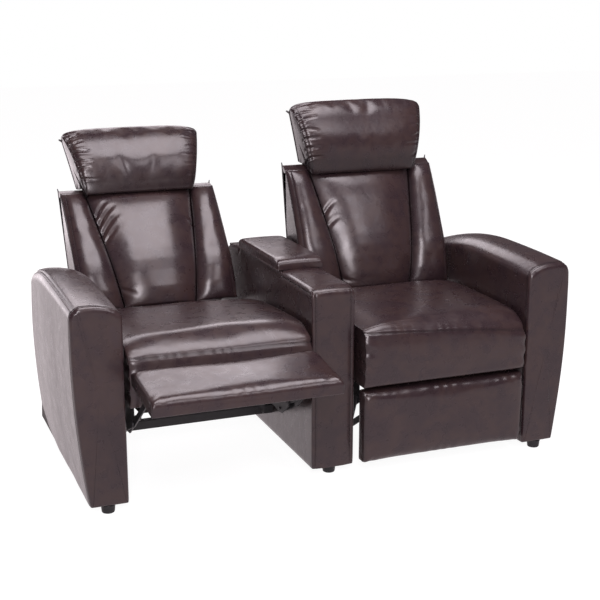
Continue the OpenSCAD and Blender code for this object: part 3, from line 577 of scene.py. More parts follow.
def add_node(tree: NodeTree, kind: str, links: dict[str | int, object] | None = None,
             **settings: object) -> Node:
    """Adds one shader node.

    Args:
        tree: The material's or world's node tree.
        kind: The node's type, without the ShaderNode that it starts with.
        links: For each input, the socket that feeds it or its plain value.
        **settings: Properties of the node.

    Returns:
        The new node.
    """
    made = tree.nodes.new("ShaderNode" + kind)
    for name, value in settings.items():
        setattr(made, name, value)
    for name, value in (links or {}).items():
        socket = made.inputs[name]
        if isinstance(value, NodeSocket):
            tree.links.new(value, socket)
        else:
            socket.default_value = value
    return made


def fill_ramp(ramp: Node, stops: Sequence[tuple[float, str]]) -> None:
    """Sets a colour ramp's stops from shares and hex colours."""
    bar = ramp.color_ramp
    while len(bar.elements) > 1:
        bar.elements.remove(bar.elements[-1])
    bar.elements[0].position, bar.elements[0].color = stops[0][0], linear(stops[0][1])
    for place, colour in stops[1:]:
        bar.elements.new(place).color = linear(colour)


def new_material(name: str) -> tuple[Material, NodeTree, Node]:
    """Makes an empty material with its output node."""
    made = bpy.data.materials.new(name)
    made.use_nodes = True
    made.node_tree.nodes.clear()
    return made, made.node_tree, add_node(made.node_tree, "OutputMaterial")


@dataclass(frozen=True)
class Finish:
    """A finish of the row, with the name of its material."""

    name: str

    def shader(self, tree: NodeTree, where: NodeSocket) -> Node:
        """Adds the nodes that make the look.

        Args:
            tree: The material's node tree.
            where: Object coordinates.

        Returns:
            The shader that ends them.
        """
        raise NotImplementedError

    def build(self) -> Material:
        """Makes the material."""
        made, tree, out = new_material(self.name)
        shader = self.shader(tree, add_node(tree, "TexCoord").outputs["Object"])
        tree.links.new(shader.outputs["BSDF"], out.inputs["Surface"])
        return made


@dataclass(frozen=True)
class BondedLeather(Finish):
    """Bonded leather: a polyurethane skin on fibre backing, embossed and roller printed.

    The roller print leaves cloudy patches of plum and brown, the embossing gives a fine
    pebble, and the skin has the soft, wide gloss of a polyurethane top coat.
    """

    name: str = "bonded_leather_embossed_antique"
    tones: tuple[str, ...] = ("#281d20", "#2e2225", "#362827", "#33282d")
    # The seam attribute mixes towards this tone: print darker at the seams, and painted shade in the back's deep seams
    # and under the headrest.
    seam_tone: str = "#191214"
    roughness: tuple[float, float] = (0.25, 0.34)
    cloud_mm: float = 95.0
    patch_mm: float = 32.0
    # Real pebbles are about 1 mm. They are drawn at 2.6 mm, about a pixel, so that they show.
    grain_mm: float = 2.6
    crease_mm: float = 34.0

    def shader(self, tree: NodeTree, where: NodeSocket) -> Node:
        """Adds the nodes that make the look."""
        cloud = add_node(tree, "TexNoise", {
            "Vector": where, "Scale": per_size(self.cloud_mm), "Detail": 3.0,
            "Roughness": 0.55, "Distortion": 0.6})
        patch = add_node(tree, "TexNoise", {
            "Vector": where, "Scale": per_size(self.patch_mm), "Detail": 2.0,
            "Roughness": 0.5, "Distortion": 0.3})
        both = add_node(tree, "Mix", {
            "Factor": 0.4, "A": cloud.outputs["Fac"], "B": patch.outputs["Fac"]},
            data_type="FLOAT")
        ramp = add_node(tree, "ValToRGB", {"Fac": both.outputs[0]})
        fill_ramp(ramp, list(zip((0.24, 0.43, 0.58, 0.76), self.tones)))
        # Print darker at the seams, and painted shade in the back's deep seams and under the headrest, mixed in by the
        # seam attribute.
        seam = add_node(tree, "Attribute", attribute_name="seam")
        shaded = add_node(tree, "Mix", {
            "Factor": seam.outputs["Fac"], "A": ramp.outputs["Color"],
            "B": linear(self.seam_tone)}, data_type="RGBA")
        gloss = add_node(tree, "MapRange", {
            "Value": patch.outputs["Fac"], "From Min": 0.3, "From Max": 0.7,
            "To Min": self.roughness[0], "To Max": self.roughness[1]})
        grain = add_node(tree, "TexVoronoi", {
            "Vector": where, "Scale": per_size(self.grain_mm), "Smoothness": 0.6},
            feature="SMOOTH_F1")
        crease = add_node(tree, "TexNoise", {
            "Vector": where, "Scale": per_size(self.crease_mm), "Detail": 2.0,
            "Roughness": 0.5, "Distortion": 0.8})
        low = add_node(tree, "Bump", {
            "Strength": 0.35, "Distance": 1.6 * MM, "Height": crease.outputs["Fac"]})
        fine = add_node(tree, "Bump", {
            "Strength": 0.12, "Distance": 0.25 * MM, "Height": grain.outputs["Distance"],
            "Normal": low.outputs["Normal"]})
        return add_node(tree, "BsdfPrincipled", {
            "Base Color": shaded.outputs[2],
            "Roughness": gloss.outputs["Result"], "IOR": 1.47,
            "Specular IOR Level": 0.5, "Coat Weight": 0.35, "Coat Roughness": 0.22,
            "Normal": fine.outputs["Normal"]})


@dataclass(frozen=True)
class PowderCoatedSteel(Finish):
    """Mild steel pressings under black baked powder, with its slight orange peel."""

    name: str = "steel_powder_coated_black"
    colour: str = "#1b1b1d"
    worn: str = "#2c2c2f"
    peel_mm: float = 3.0

    def shader(self, tree: NodeTree, where: NodeSocket) -> Node:
        """Adds the nodes that make the look."""
        peel = add_node(tree, "TexNoise", {
            "Vector": where, "Scale": per_size(self.peel_mm), "Detail": 2.0})
        dust = add_node(tree, "TexNoise", {
            "Vector": where, "Scale": per_size(45.0), "Detail": 4.0, "Roughness": 0.65})
        tone = add_node(tree, "ValToRGB", {"Fac": dust.outputs["Fac"]})
        fill_ramp(tone, [(0.4, self.colour), (0.72, self.worn)])
        gloss = add_node(tree, "MapRange", {
            "Value": dust.outputs["Fac"], "From Min": 0.3, "From Max": 0.7,
            "To Min": 0.36, "To Max": 0.52})
        bump = add_node(tree, "Bump", {
            "Strength": 0.3, "Distance": 0.2 * MM, "Height": peel.outputs["Fac"]})
        return add_node(tree, "BsdfPrincipled", {
            "Base Color": tone.outputs["Color"], "Roughness": gloss.outputs["Result"],
            "IOR": 1.5, "Normal": bump.outputs["Normal"]})


@dataclass(frozen=True)
class MouldedPlastic(Finish):
    """Injection moulded polypropylene, black, with a fine spark-eroded texture."""

    name: str = "polypropylene_moulded_black"
    colour: str = "#141416"
    worn: str = "#202023"
    spark_mm: float = 1.8

    def shader(self, tree: NodeTree, where: NodeSocket) -> Node:
        """Adds the nodes that make the look."""
        spark = add_node(tree, "TexNoise", {
            "Vector": where, "Scale": per_size(self.spark_mm), "Detail": 3.0,
            "Roughness": 0.7})
        scuff = add_node(tree, "TexNoise", {
            "Vector": where, "Scale": per_size(30.0), "Detail": 3.0})
        tone = add_node(tree, "ValToRGB", {"Fac": scuff.outputs["Fac"]})
        fill_ramp(tone, [(0.42, self.colour), (0.75, self.worn)])
        bump = add_node(tree, "Bump", {
            "Strength": 0.3, "Distance": 0.15 * MM, "Height": spark.outputs["Fac"]})
        return add_node(tree, "BsdfPrincipled", {
            "Base Color": tone.outputs["Color"], "Roughness": 0.48, "IOR": 1.49,
            "Normal": bump.outputs["Normal"]})


@dataclass(frozen=True)
class StainedPlywood(Finish):
    """Birch plywood, sawn and stained dark: long, faint grain under a matt stain."""

    name: str = "birch_plywood_dark_stain"
    tones: tuple[str, str, str] = ("#17100d", "#231914", "#33251c")
    grain_mm: float = 5.0

    def shader(self, tree: NodeTree, where: NodeSocket) -> Node:
        """Adds the nodes that make the look."""
        stretched = add_node(tree, "Mapping", {
            "Vector": where, "Scale": (1.0, 0.06, 1.0)})
        grain = add_node(tree, "TexNoise", {
            "Vector": stretched.outputs["Vector"], "Scale": per_size(self.grain_mm),
            "Detail": 5.0, "Roughness": 0.6, "Distortion": 0.4})
        ramp = add_node(tree, "ValToRGB", {"Fac": grain.outputs["Fac"]})
        fill_ramp(ramp, list(zip((0.36, 0.5, 0.64), self.tones)))
        bump = add_node(tree, "Bump", {
            "Strength": 0.25, "Distance": 0.3 * MM, "Height": grain.outputs["Fac"]})
        return add_node(tree, "BsdfPrincipled", {
            "Base Color": ramp.outputs["Color"], "Roughness": 0.62, "IOR": 1.5,
            "Normal": bump.outputs["Normal"]})


@dataclass(frozen=True)
class BondedThread(Finish):
    """Bonded polyester sewing thread, twisted, dark brown, faintly glossy."""

    name: str = "polyester_thread_twisted"
    tones: tuple[str, str] = ("#2a1f22", "#4b3d41")
    # Real plies are 0.4 mm apart. They are drawn at 1.1 mm so that they show.
    ply_mm: float = 1.1

    def shader(self, tree: NodeTree, where: NodeSocket) -> Node:
        """Adds the nodes that make the look."""
        ply = add_node(tree, "TexWave", {
            "Vector": where, "Scale": per_size(self.ply_mm) / 6, "Distortion": 1.5,
            "Detail": 1.0}, bands_direction="DIAGONAL")
        ramp = add_node(tree, "ValToRGB", {"Fac": ply.outputs["Fac"]})
        fill_ramp(ramp, [(0.2, self.tones[0]), (0.8, self.tones[1])])
        return add_node(tree, "BsdfPrincipled", {
            "Base Color": ramp.outputs["Color"], "Roughness": 0.5, "IOR": 1.55})


@dataclass
class Finishes:
    """All finishes of the row, each made once."""

    leather: Material
    piping: Material
    thread: Material
    steel: Material
    plastic: Material
    timber: Material

    @classmethod
    def make(cls) -> "Finishes":
        """Builds every finish."""
        piping = BondedLeather(
            name="bonded_leather_piping", tones=("#171113", "#1d1618", "#241b1e", "#2a2124"),
            cloud_mm=60.0, patch_mm=14.0)
        return cls(BondedLeather().build(), piping.build(), BondedThread().build(),
                   PowderCoatedSteel().build(), MouldedPlastic().build(),
                   StainedPlywood().build())


# From shapes to pieces


@dataclass(frozen=True)
class Place:
    """Where a piece's own frame stands in the row."""

    turn: Array
    shift: Array

    def out(self, points: Array) -> Array:
        """Row points in metres of a piece's points in millimetres."""
        return (points @ self.turn.T + self.shift) * MM

    def back(self, points: Array) -> Array:
        """Points in a piece's millimetres of row points in metres."""
        return (points / MM - self.shift) @ self.turn

    def squash_line(self, point: Sequence[float]) -> dict[str, tuple[float, ...]]:
        """Anchor at a point of this frame, and axis along its third direction."""
        return {"axis": tuple(self.turn[:, 2]), "anchor": tuple(self.out(np.array(point)))}

    def then(self, turn: Array, shift: Array) -> "Place":
        """Place of a frame that stands in this one."""
        return Place(self.turn @ turn, self.turn @ shift + self.shift)


def tilt_in_side_view(pivot: tuple[float, float], degrees: float) -> tuple[Array, Array]:
    """Turn and shift about a pivot of the side view, front edge up.

    Args:
        pivot: The pivot's y and z.
        degrees: Angle of the turn.

    Returns:
        The turn as a matrix and the shift.
    """
    c, s = math.cos(math.radians(degrees)), math.sin(math.radians(degrees))
    turn = np.array([[1, 0, 0], [0, c, s], [0, -s, c]])
    centre = np.array([0, pivot[0], pivot[1]])
    return turn, centre - turn @ centre


@dataclass(frozen=True)
class Puff:
    """How the air pressure of a cloth simulation fills a cover.

    pinned gives, for points in the piece's own millimetres, one where the cover is sewn
    or rests on its board and nought where it is free. spare is how much the cover grows,
    limit how far it may move in millimetres, and even how often the movement is averaged.
    """

    pinned: Field
    pressure: float = 3.0
    spare: float = 0.006
    limit: float = 6.0
    even: int = 8
    steps: int = 16


class Workshop:
    """Turns shapes into dressed pieces of the row."""

    def __init__(self, finishes: Finishes) -> None:
        """Keeps the finishes."""
        self.finishes = finishes

    def new_object(self, name: str, shape: Shape) -> Object:
        """Makes a smooth shaded object of a shape in row metres."""
        mesh = bpy.data.meshes.new(name)
        mesh.from_pydata(shape.points.tolist(), [], shape.quads.tolist() + shape.tris.tolist())
        mesh.update()
        mesh.shade_smooth()
        made = bpy.data.objects.new(name, mesh)
        bpy.context.scene.collection.objects.link(made)
        return made

    def puffed(self, shape: Shape, place: Place, puff: Puff) -> Shape:
        """Fills a cover by cloth simulation.

        Args:
            shape: The cover in row metres.
            place: Where its frame stands.
            puff: The filling.

        Returns:
            The filled cover.
        """
        piece = self.new_object("cover", shape)
        pinned = np.round(puff.pinned(place.back(shape.points)), 1)
        group = piece.vertex_groups.new(name="sewn")
        for share in np.unique(pinned[pinned > 0]):
            group.add(np.nonzero(pinned == share)[0].tolist(), float(share), "REPLACE")
        rule = piece.modifiers.new("air", "CLOTH").settings
        settings = {"quality": 5, "mass": 0.3, "vertex_group_mass": "sewn",
                    "use_pressure": True, "uniform_pressure_force": puff.pressure,
                    "shrink_min": -puff.spare, "bending_stiffness": 0.6}
        for name, value in settings.items():
            setattr(rule, name, value)
        rule.effector_weights.gravity = 0.0
        for number in range(1, puff.steps + 1):
            bpy.context.scene.frame_set(number)
        settled = piece.evaluated_get(bpy.context.evaluated_depsgraph_get()).data
        end = np.empty(len(settled.vertices) * 3)
        settled.vertices.foreach_get("co", end)
        move = end.reshape(-1, 3) - shape.points
        size = np.linalg.norm(move, axis=1, keepdims=True) / MM
        log.info("cover filled: moved by %.1f mm before its limit of %.1f mm", size.max(),
                 puff.limit)
        move *= np.minimum(1, puff.limit / np.maximum(size, 1e-6))
        move = shape.evened(move, puff.even) * (1 - pinned)[:, None]
        mesh = piece.data
        bpy.data.objects.remove(piece)
        bpy.data.meshes.remove(mesh)
        bpy.context.scene.frame_set(1)
        return shape.moved_to(shape.points + move)

    def soft(self, name: str, shape: Shape, place: Place, body: str,
             stands_for: Sequence[str] = (), fill: float = 0.8, puff: Puff | None = None,
             relief: Field | None = None, seam: Field | None = None) -> Object:
        """Makes one padded leather piece.

        Args:
            name: The piece's name.
            shape: Its coarse shape in its own frame.
            place: Where that frame stands.
            body: The body it moves with.
            stands_for: CAD nodes that it replaces.
            fill: How tight the padding is.
            puff: Cloth simulation that fills it, if any.
            relief: Height of folds and gutters at points of its own frame.
            seam: Darkening by seams at points of its own frame: print darker at the seams, and painted shade in the
                back's deep seams and under the headrest.

        Returns:
            The dressed object.
        """
        shape = shape.moved_to(place.out(shape.points)).outward()
        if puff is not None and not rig.quick():
            shape = self.puffed(shape, place, puff)
        shape = shape.finer()
        own = place.back(shape.points)
        if relief is not None:
            shape = shape.raised(relief(own) * MM)
        piece = self.new_object(name, shape)
        shade = np.zeros(len(own)) if seam is None else unit(seam(own))
        piece.data.attributes.new("seam", "FLOAT", "POINT").data.foreach_set("value", shade)
        piece.data.materials.append(self.finishes.leather)
        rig.ride(piece, body)
        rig.slot(piece, Slot.LEATHER.value)
        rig.padded(piece, fill=fill)
        if stands_for:
            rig.replaces(piece, *stands_for)
        log.info("%s: %d faces", name, len(shape.quads))
        return piece

    def hard(self, name: str, shape: Shape, place: Place, body: str,
             finish: Material, slot: Slot,
             stands_for: Sequence[str] = ()) -> Object:
        """Makes one piece that isn't padded, such as piping, thread or plastic.

        Args:
            name: The piece's name.
            shape: Its shape in its own frame.
            place: Where that frame stands.
            body: The body it moves with.
            finish: Its material.
            slot: The record's slot for it.
            stands_for: CAD nodes that it replaces.

        Returns:
            The dressed object.
        """
        piece = self.new_object(name, shape.moved_to(place.out(shape.points)).outward())
        piece.data.materials.append(finish)
        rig.ride(piece, body)
        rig.slot(piece, slot.value)
        if stands_for:
            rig.replaces(piece, *stands_for)
        log.info("%s: %d faces", name, len(piece.data.polygons))
        return piece


# The row's sizes


@dataclass(frozen=True)
class RowSizes:
    """Sizes that several pieces share, as in the part's source."""

    bay: float = 536.0
    console_w: float = 128.0
    foot_h: float = 24.0
    arm_front_y: float = -69.0
    console_front_y: float = -30.0
    seat_front_y: float = -78.0
    tilt_pivot: tuple[float, float] = (338.0, 118.0)
    seat_tilt: float = 4.0
    crank_l: float = 110.0
    crank_start: float = -113.1
    crank_out: float = 20.95
    footrest_pin: tuple[float, float] = (52.0, 166.2)
    footrest_turn: float = 79.6

    @property
    def arm_x(self) -> float:
        """Distance of an arm's inner face from the row's middle."""
        return self.console_w / 2 + self.bay

    @property
    def chair_x(self) -> float:
        """Distance of a seat's middle from the row's middle."""
        return self.console_w / 2 + self.bay / 2


ROW = RowSizes()


def arm_place(side: Side) -> Place:
    """Frame of an arm: x outwards from its inner face, y from its front."""
    return Place(np.diag([side.sign, 1.0, 1.0]),
                 np.array([side.sign * ROW.arm_x, ROW.arm_front_y, 0]))


def console_place() -> Place:
    """Frame of the console: x from its middle, y from its front."""
    return Place(np.eye(3), np.array([0, ROW.console_front_y, 0]))


def seat_place(side: Side) -> Place:
    """Frame of a seat: x from its middle, y from its closed front, z from the floor."""
    stand = Place(np.eye(3), np.array([side.sign * ROW.chair_x, ROW.seat_front_y, 0]))
    if side is Side.LEFT:
        return stand.then(*tilt_in_side_view(ROW.tilt_pivot, ROW.seat_tilt))
    return stand


@dataclass(frozen=True)
class BackPose:
    """Where a back stands in its seat's frame, and how far it leans."""

    foot: tuple[float, float]
    lean: float


BACK_POSES = {Side.LEFT: BackPose((681.2, 221.0), 22.05),
              Side.RIGHT: BackPose((563.0, 235.0), 10.3)}


def back_place(side: Side) -> Place:
    """Frame of a back: x from its middle, n ahead of its rear face, v up along it."""
    pose = BACK_POSES[side]
    c, s = math.cos(math.radians(pose.lean)), math.sin(math.radians(pose.lean))
    turn = np.array([[1, 0, 0], [0, -c, s], [0, s, c]])
    return seat_place(side).then(turn, np.array([0, pose.foot[0], pose.foot[1]]))


def footrest_place(side: Side) -> Place:
    """Frame of a footrest: x from its middle, y and z as it hangs closed."""
    place = seat_place(side)
    if side is Side.RIGHT:
        return place
    start, swung = math.radians(ROW.crank_start), math.radians(ROW.crank_out)
    shift = np.array([0, -ROW.crank_l * (math.cos(swung) - math.cos(start)),
                      ROW.crank_l * (math.sin(swung) - math.sin(start))])
    place = place.then(np.eye(3), shift)
    return place.then(*tilt_in_side_view(ROW.footrest_pin, ROW.footrest_turn))


# Sub-assemblies


@dataclass
class Arm:
    """A padded arm with a crested top, a tapering outer side and a raked rear edge."""

    side: Side
    depth: float = 776.0
    width: float = 138.0
    front_h: float = 572.0
    crest_h: float = 581.0
    crest_y: float = 333.0
    rear_h: float = 523.0
    rake: float = 111.0
    taper: float = 33.0
    narrow: float = 12.0
    taper_h: float = 450.0
    soft: tuple[float, float] = (90.0, 40.0)
    seam_r: float = 34.0
    pad_t: float = 14.0
    seam_arc: float = 50.0
    # Degrees from the long seam at which the outline is read, close together at the seam.
    NEAR_SEAM = (-50, -34, -20, -12, -7, -3.5, 0, 3.5, 7, 14, 27, 40.0)
    # Radius of the front pad's roll at its sides, and what its top adds to that.
    pad_roll: tuple[float, float] = (8.0, 9.0)
    stitch_arc: float = 13.0

    @property
    def rear_y(self) -> float:
        """Depth of the arm at its top."""
        return self.depth - self.rake

    def top(self, y: Array) -> Array:
        """Height of the top over a place along the arm."""
        ahead = self.crest_h - (self.crest_h - self.front_h) * (1 - y / self.crest_y)**2
        behind = self.crest_h - (self.crest_h - self.rear_h) * (
            (y - self.crest_y) / (self.rear_y - self.crest_y))**2
        return np.where(y < self.crest_y, ahead, behind)

    def outer(self, z: Array) -> Array:
        """Place of the outer side at a height."""
        share = np.maximum(0, 1 - (z - ROW.foot_h) / (self.taper_h - ROW.foot_h))
        return self.width - self.taper * share**1.9

    def narrowing(self, y: Array) -> Array:
        """How far the outer side draws in behind the crest."""
        share = np.maximum(0, (y - self.crest_y) / (self.rear_y - self.crest_y))
        return self.narrow * share**1.5

    def depth_at(self, z: Array) -> Array:
        """Depth of the raked arm at a height."""
        return self.depth - self.rake * (z - ROW.foot_h) / (self.rear_h - ROW.foot_h)

    def section(self, top: float, narrowing: float, inset: float = 0.0) -> Array:
        """Outline across the arm, from the outer foot upwards and round.

        Args:
            top: Height of the top.
            narrowing: How far the outer side draws in.
            inset: How far the whole outline draws in.

        Returns:
            Points of x and z, with close ones at the long seam.
        """
        foot = ROW.foot_h - 0.8
        r = self.seam_r
        low = np.linspace(foot + 6, top - r, 34)
        near = np.array(self.NEAR_SEAM)
        arc = np.radians(self.seam_arc + near)
        pull = 1.6 * bell(near, 5)
        soft_arc = np.radians(np.linspace(0, 90, 13))
        outer = np.concatenate([
            columns(self.outer(low) - narrowing, low),
            columns(self.width - narrowing - r + (r - pull) * np.cos(arc),
                    top - r + (r - pull) * np.sin(arc))])
        inner = columns(self.soft[0] * (1 - np.sin(soft_arc)),
                        top - self.soft[1] * (1 - np.cos(soft_arc)))
        down = np.linspace(top - self.soft[1], foot + 6, 30)[1:]
        out_x = float(self.outer(np.array(foot))) - narrowing
        points = np.concatenate([
            [[out_x - 6, foot], [out_x - 2, foot + 1]], outer, inner,
            columns(np.zeros(len(down)), down),
            [[2, foot + 1], [6, foot], [out_x / 2, foot]]])
        if inset:
            middle = np.array([self.width / 2, (foot + top) / 2])
            half = np.array([self.width / 2, (top - foot) / 2])
            points = middle + (points - middle) * (1 - inset / half)
        return points

    def hoop(self) -> Shape:
        """The arm's outer side, top, inner side and rear in one skin."""
        shares = np.concatenate([[0.0, 0.003, 0.007, 0.013], np.linspace(0.025, 0.975, 64),
                                 [0.985, 0.993, 0.998, 1.0]])
        first = self.pad_t - 2
        rings = []
        for s in shares:
            top = self.front_h
            for _ in range(6):
                y = first + s * (self.depth_at(np.array(top)) - first)
                top = float(self.top(y))
            end = max(0.0, (s - 0.975) / 0.025)
            edge = 3.0 * max(0.0, 1 - s / 0.01)**2
            flat = self.section(top - 8 * end**2, float(self.narrowing(y)),
                                max(edge, 2.4 * end**3))
            ys = first + s * (self.depth_at(flat[:, 1]) - first)
            rings.append(columns(flat[:, 0], ys, flat[:, 1]))
        return skin(np.array(rings), steps=5, dome=(0, 2))

    def front_pad(self) -> Shape:
        """The puffed front pad, which rolls over at its top and sides."""
        flat = self.section(self.front_h, 0.0)
        along = np.roll(flat, -1, axis=0) - np.roll(flat, 1, axis=0)
        normal = columns(along[:, 1], -along[:, 0])
        normal /= np.linalg.norm(normal, axis=1, keepdims=True)
        if np.sum(normal * (flat - flat.mean(axis=0))) < 0:
            normal = -normal
        upper = unit((flat[:, 1] - self.front_h + 60) / 40)[:, None]
        roll = self.pad_roll[0] + self.pad_roll[1] * upper
        rings = []
        for share in (-0.1, 0.0, 0.06, 0.16, 0.3, 0.45, 0.6, 0.74, 0.86, 0.95, 1.0):
            lift = max(0.0, share)
            inset = roll * (1 - math.sqrt(1 - lift**2)) + 2.5 * max(0.0, 0.1 - share) / 0.2
            y = self.pad_t * (1 - share) + 0.4
            rings.append(front_ring(y, flat - normal * inset))
        return skin(np.array(rings), steps=9, dome=(0, 2.0), rim=0.02)

    def relief(self, p: Array) -> Array:
        """Soft puckers along the front of the top and streaks on the long sides."""
        x, y, z = p.T
        top = self.top(np.clip(y, 0, self.rear_y))
        near_top = bell(top - z, 18)
        pucker = 0.8 * np.sin(x / 5.2 + 1.3 * np.sin(x / 19)) * bell(y, 22) * near_top
        outer = bell(self.outer(z) - self.narrowing(y) - x, 4)
        streak = 0.7 * np.sin(y / 58 + 1.7 * np.sin(z / 190)) + 0.3 * np.sin(y / 23 + z / 300)
        return pucker + streak * outer * unit((top - z - 30) / 60)

    def seam_shade(self, p: Array) -> Array:
        """Darkening beside the front and outer top seams."""
        x, y, z = p.T
        edge = bell(y - self.pad_t, 3.5)
        top = self.top(np.clip(y, 0, self.rear_y))
        angle = np.degrees(np.arctan2(z - top + self.seam_r,
                                      x - self.width + self.narrowing(y) + self.seam_r))
        long_seam = bell(angle - self.seam_arc, 5) * (y > self.pad_t)
        return np.maximum(0.75 * edge, 0.7 * long_seam)

    def stitch_rows(self) -> Shape:
        """Two rows of stitches, one each side of the outer top seam."""
        ys = np.linspace(self.pad_t + 4, self.rear_y - 24, 90)
        top = self.top(ys)
        rows = []
        for arc in (self.seam_arc - self.stitch_arc, self.seam_arc + self.stitch_arc):
            a = math.radians(arc)
            x = self.width - self.narrowing(ys) - self.seam_r * (1 - math.cos(a))
            z = top - self.seam_r * (1 - math.sin(a))
            path = columns(x, ys, z)
            out = np.array([math.cos(a), 0, math.sin(a)])
            rows.append(stitches(path, out))
        return joined(rows)

    def build(self, shop: Workshop) -> None:
        """Makes the arm's pieces."""
        place, label = arm_place(self.side), self.side.label
        shop.soft(f"{label}_arm_cover", self.hoop(), place, "base",
                  (f"{label}_arm_covers", f"{label}_arm_top_pad"), 0.9,
                  relief=self.relief, seam=self.seam_shade)
        shop.soft(f"{label}_arm_front", self.front_pad(), place, "base",
                  (f"{label}_arm_front_pad",), 0.9, relief=self.front_relief,
                  seam=self.seam_shade)
        shop.hard(f"{label}_arm_stitches", self.stitch_rows(), place, "base",
                  shop.finishes.thread, Slot.LEATHER)

    def front_relief(self, p: Array) -> Array:
        """Slight hollows of stretched leather on the front pad."""
        x, y, z = p.T
        face = bell(np.maximum(0, y), 6)
        wave = 0.6 * np.sin(z / 61 + 0.9 * np.sin(x / 43)) * np.sin(x / 37 + 1.1)
        pinch = 0.9 * np.sin((x + z) / 4.1) * bell(self.front_h - 12 - z, 16)
        corner = bell(x - 12, 12) + bell(x - self.width + 12, 12)
        return face * wave + pinch * corner * unit(1 - y / self.pad_t)


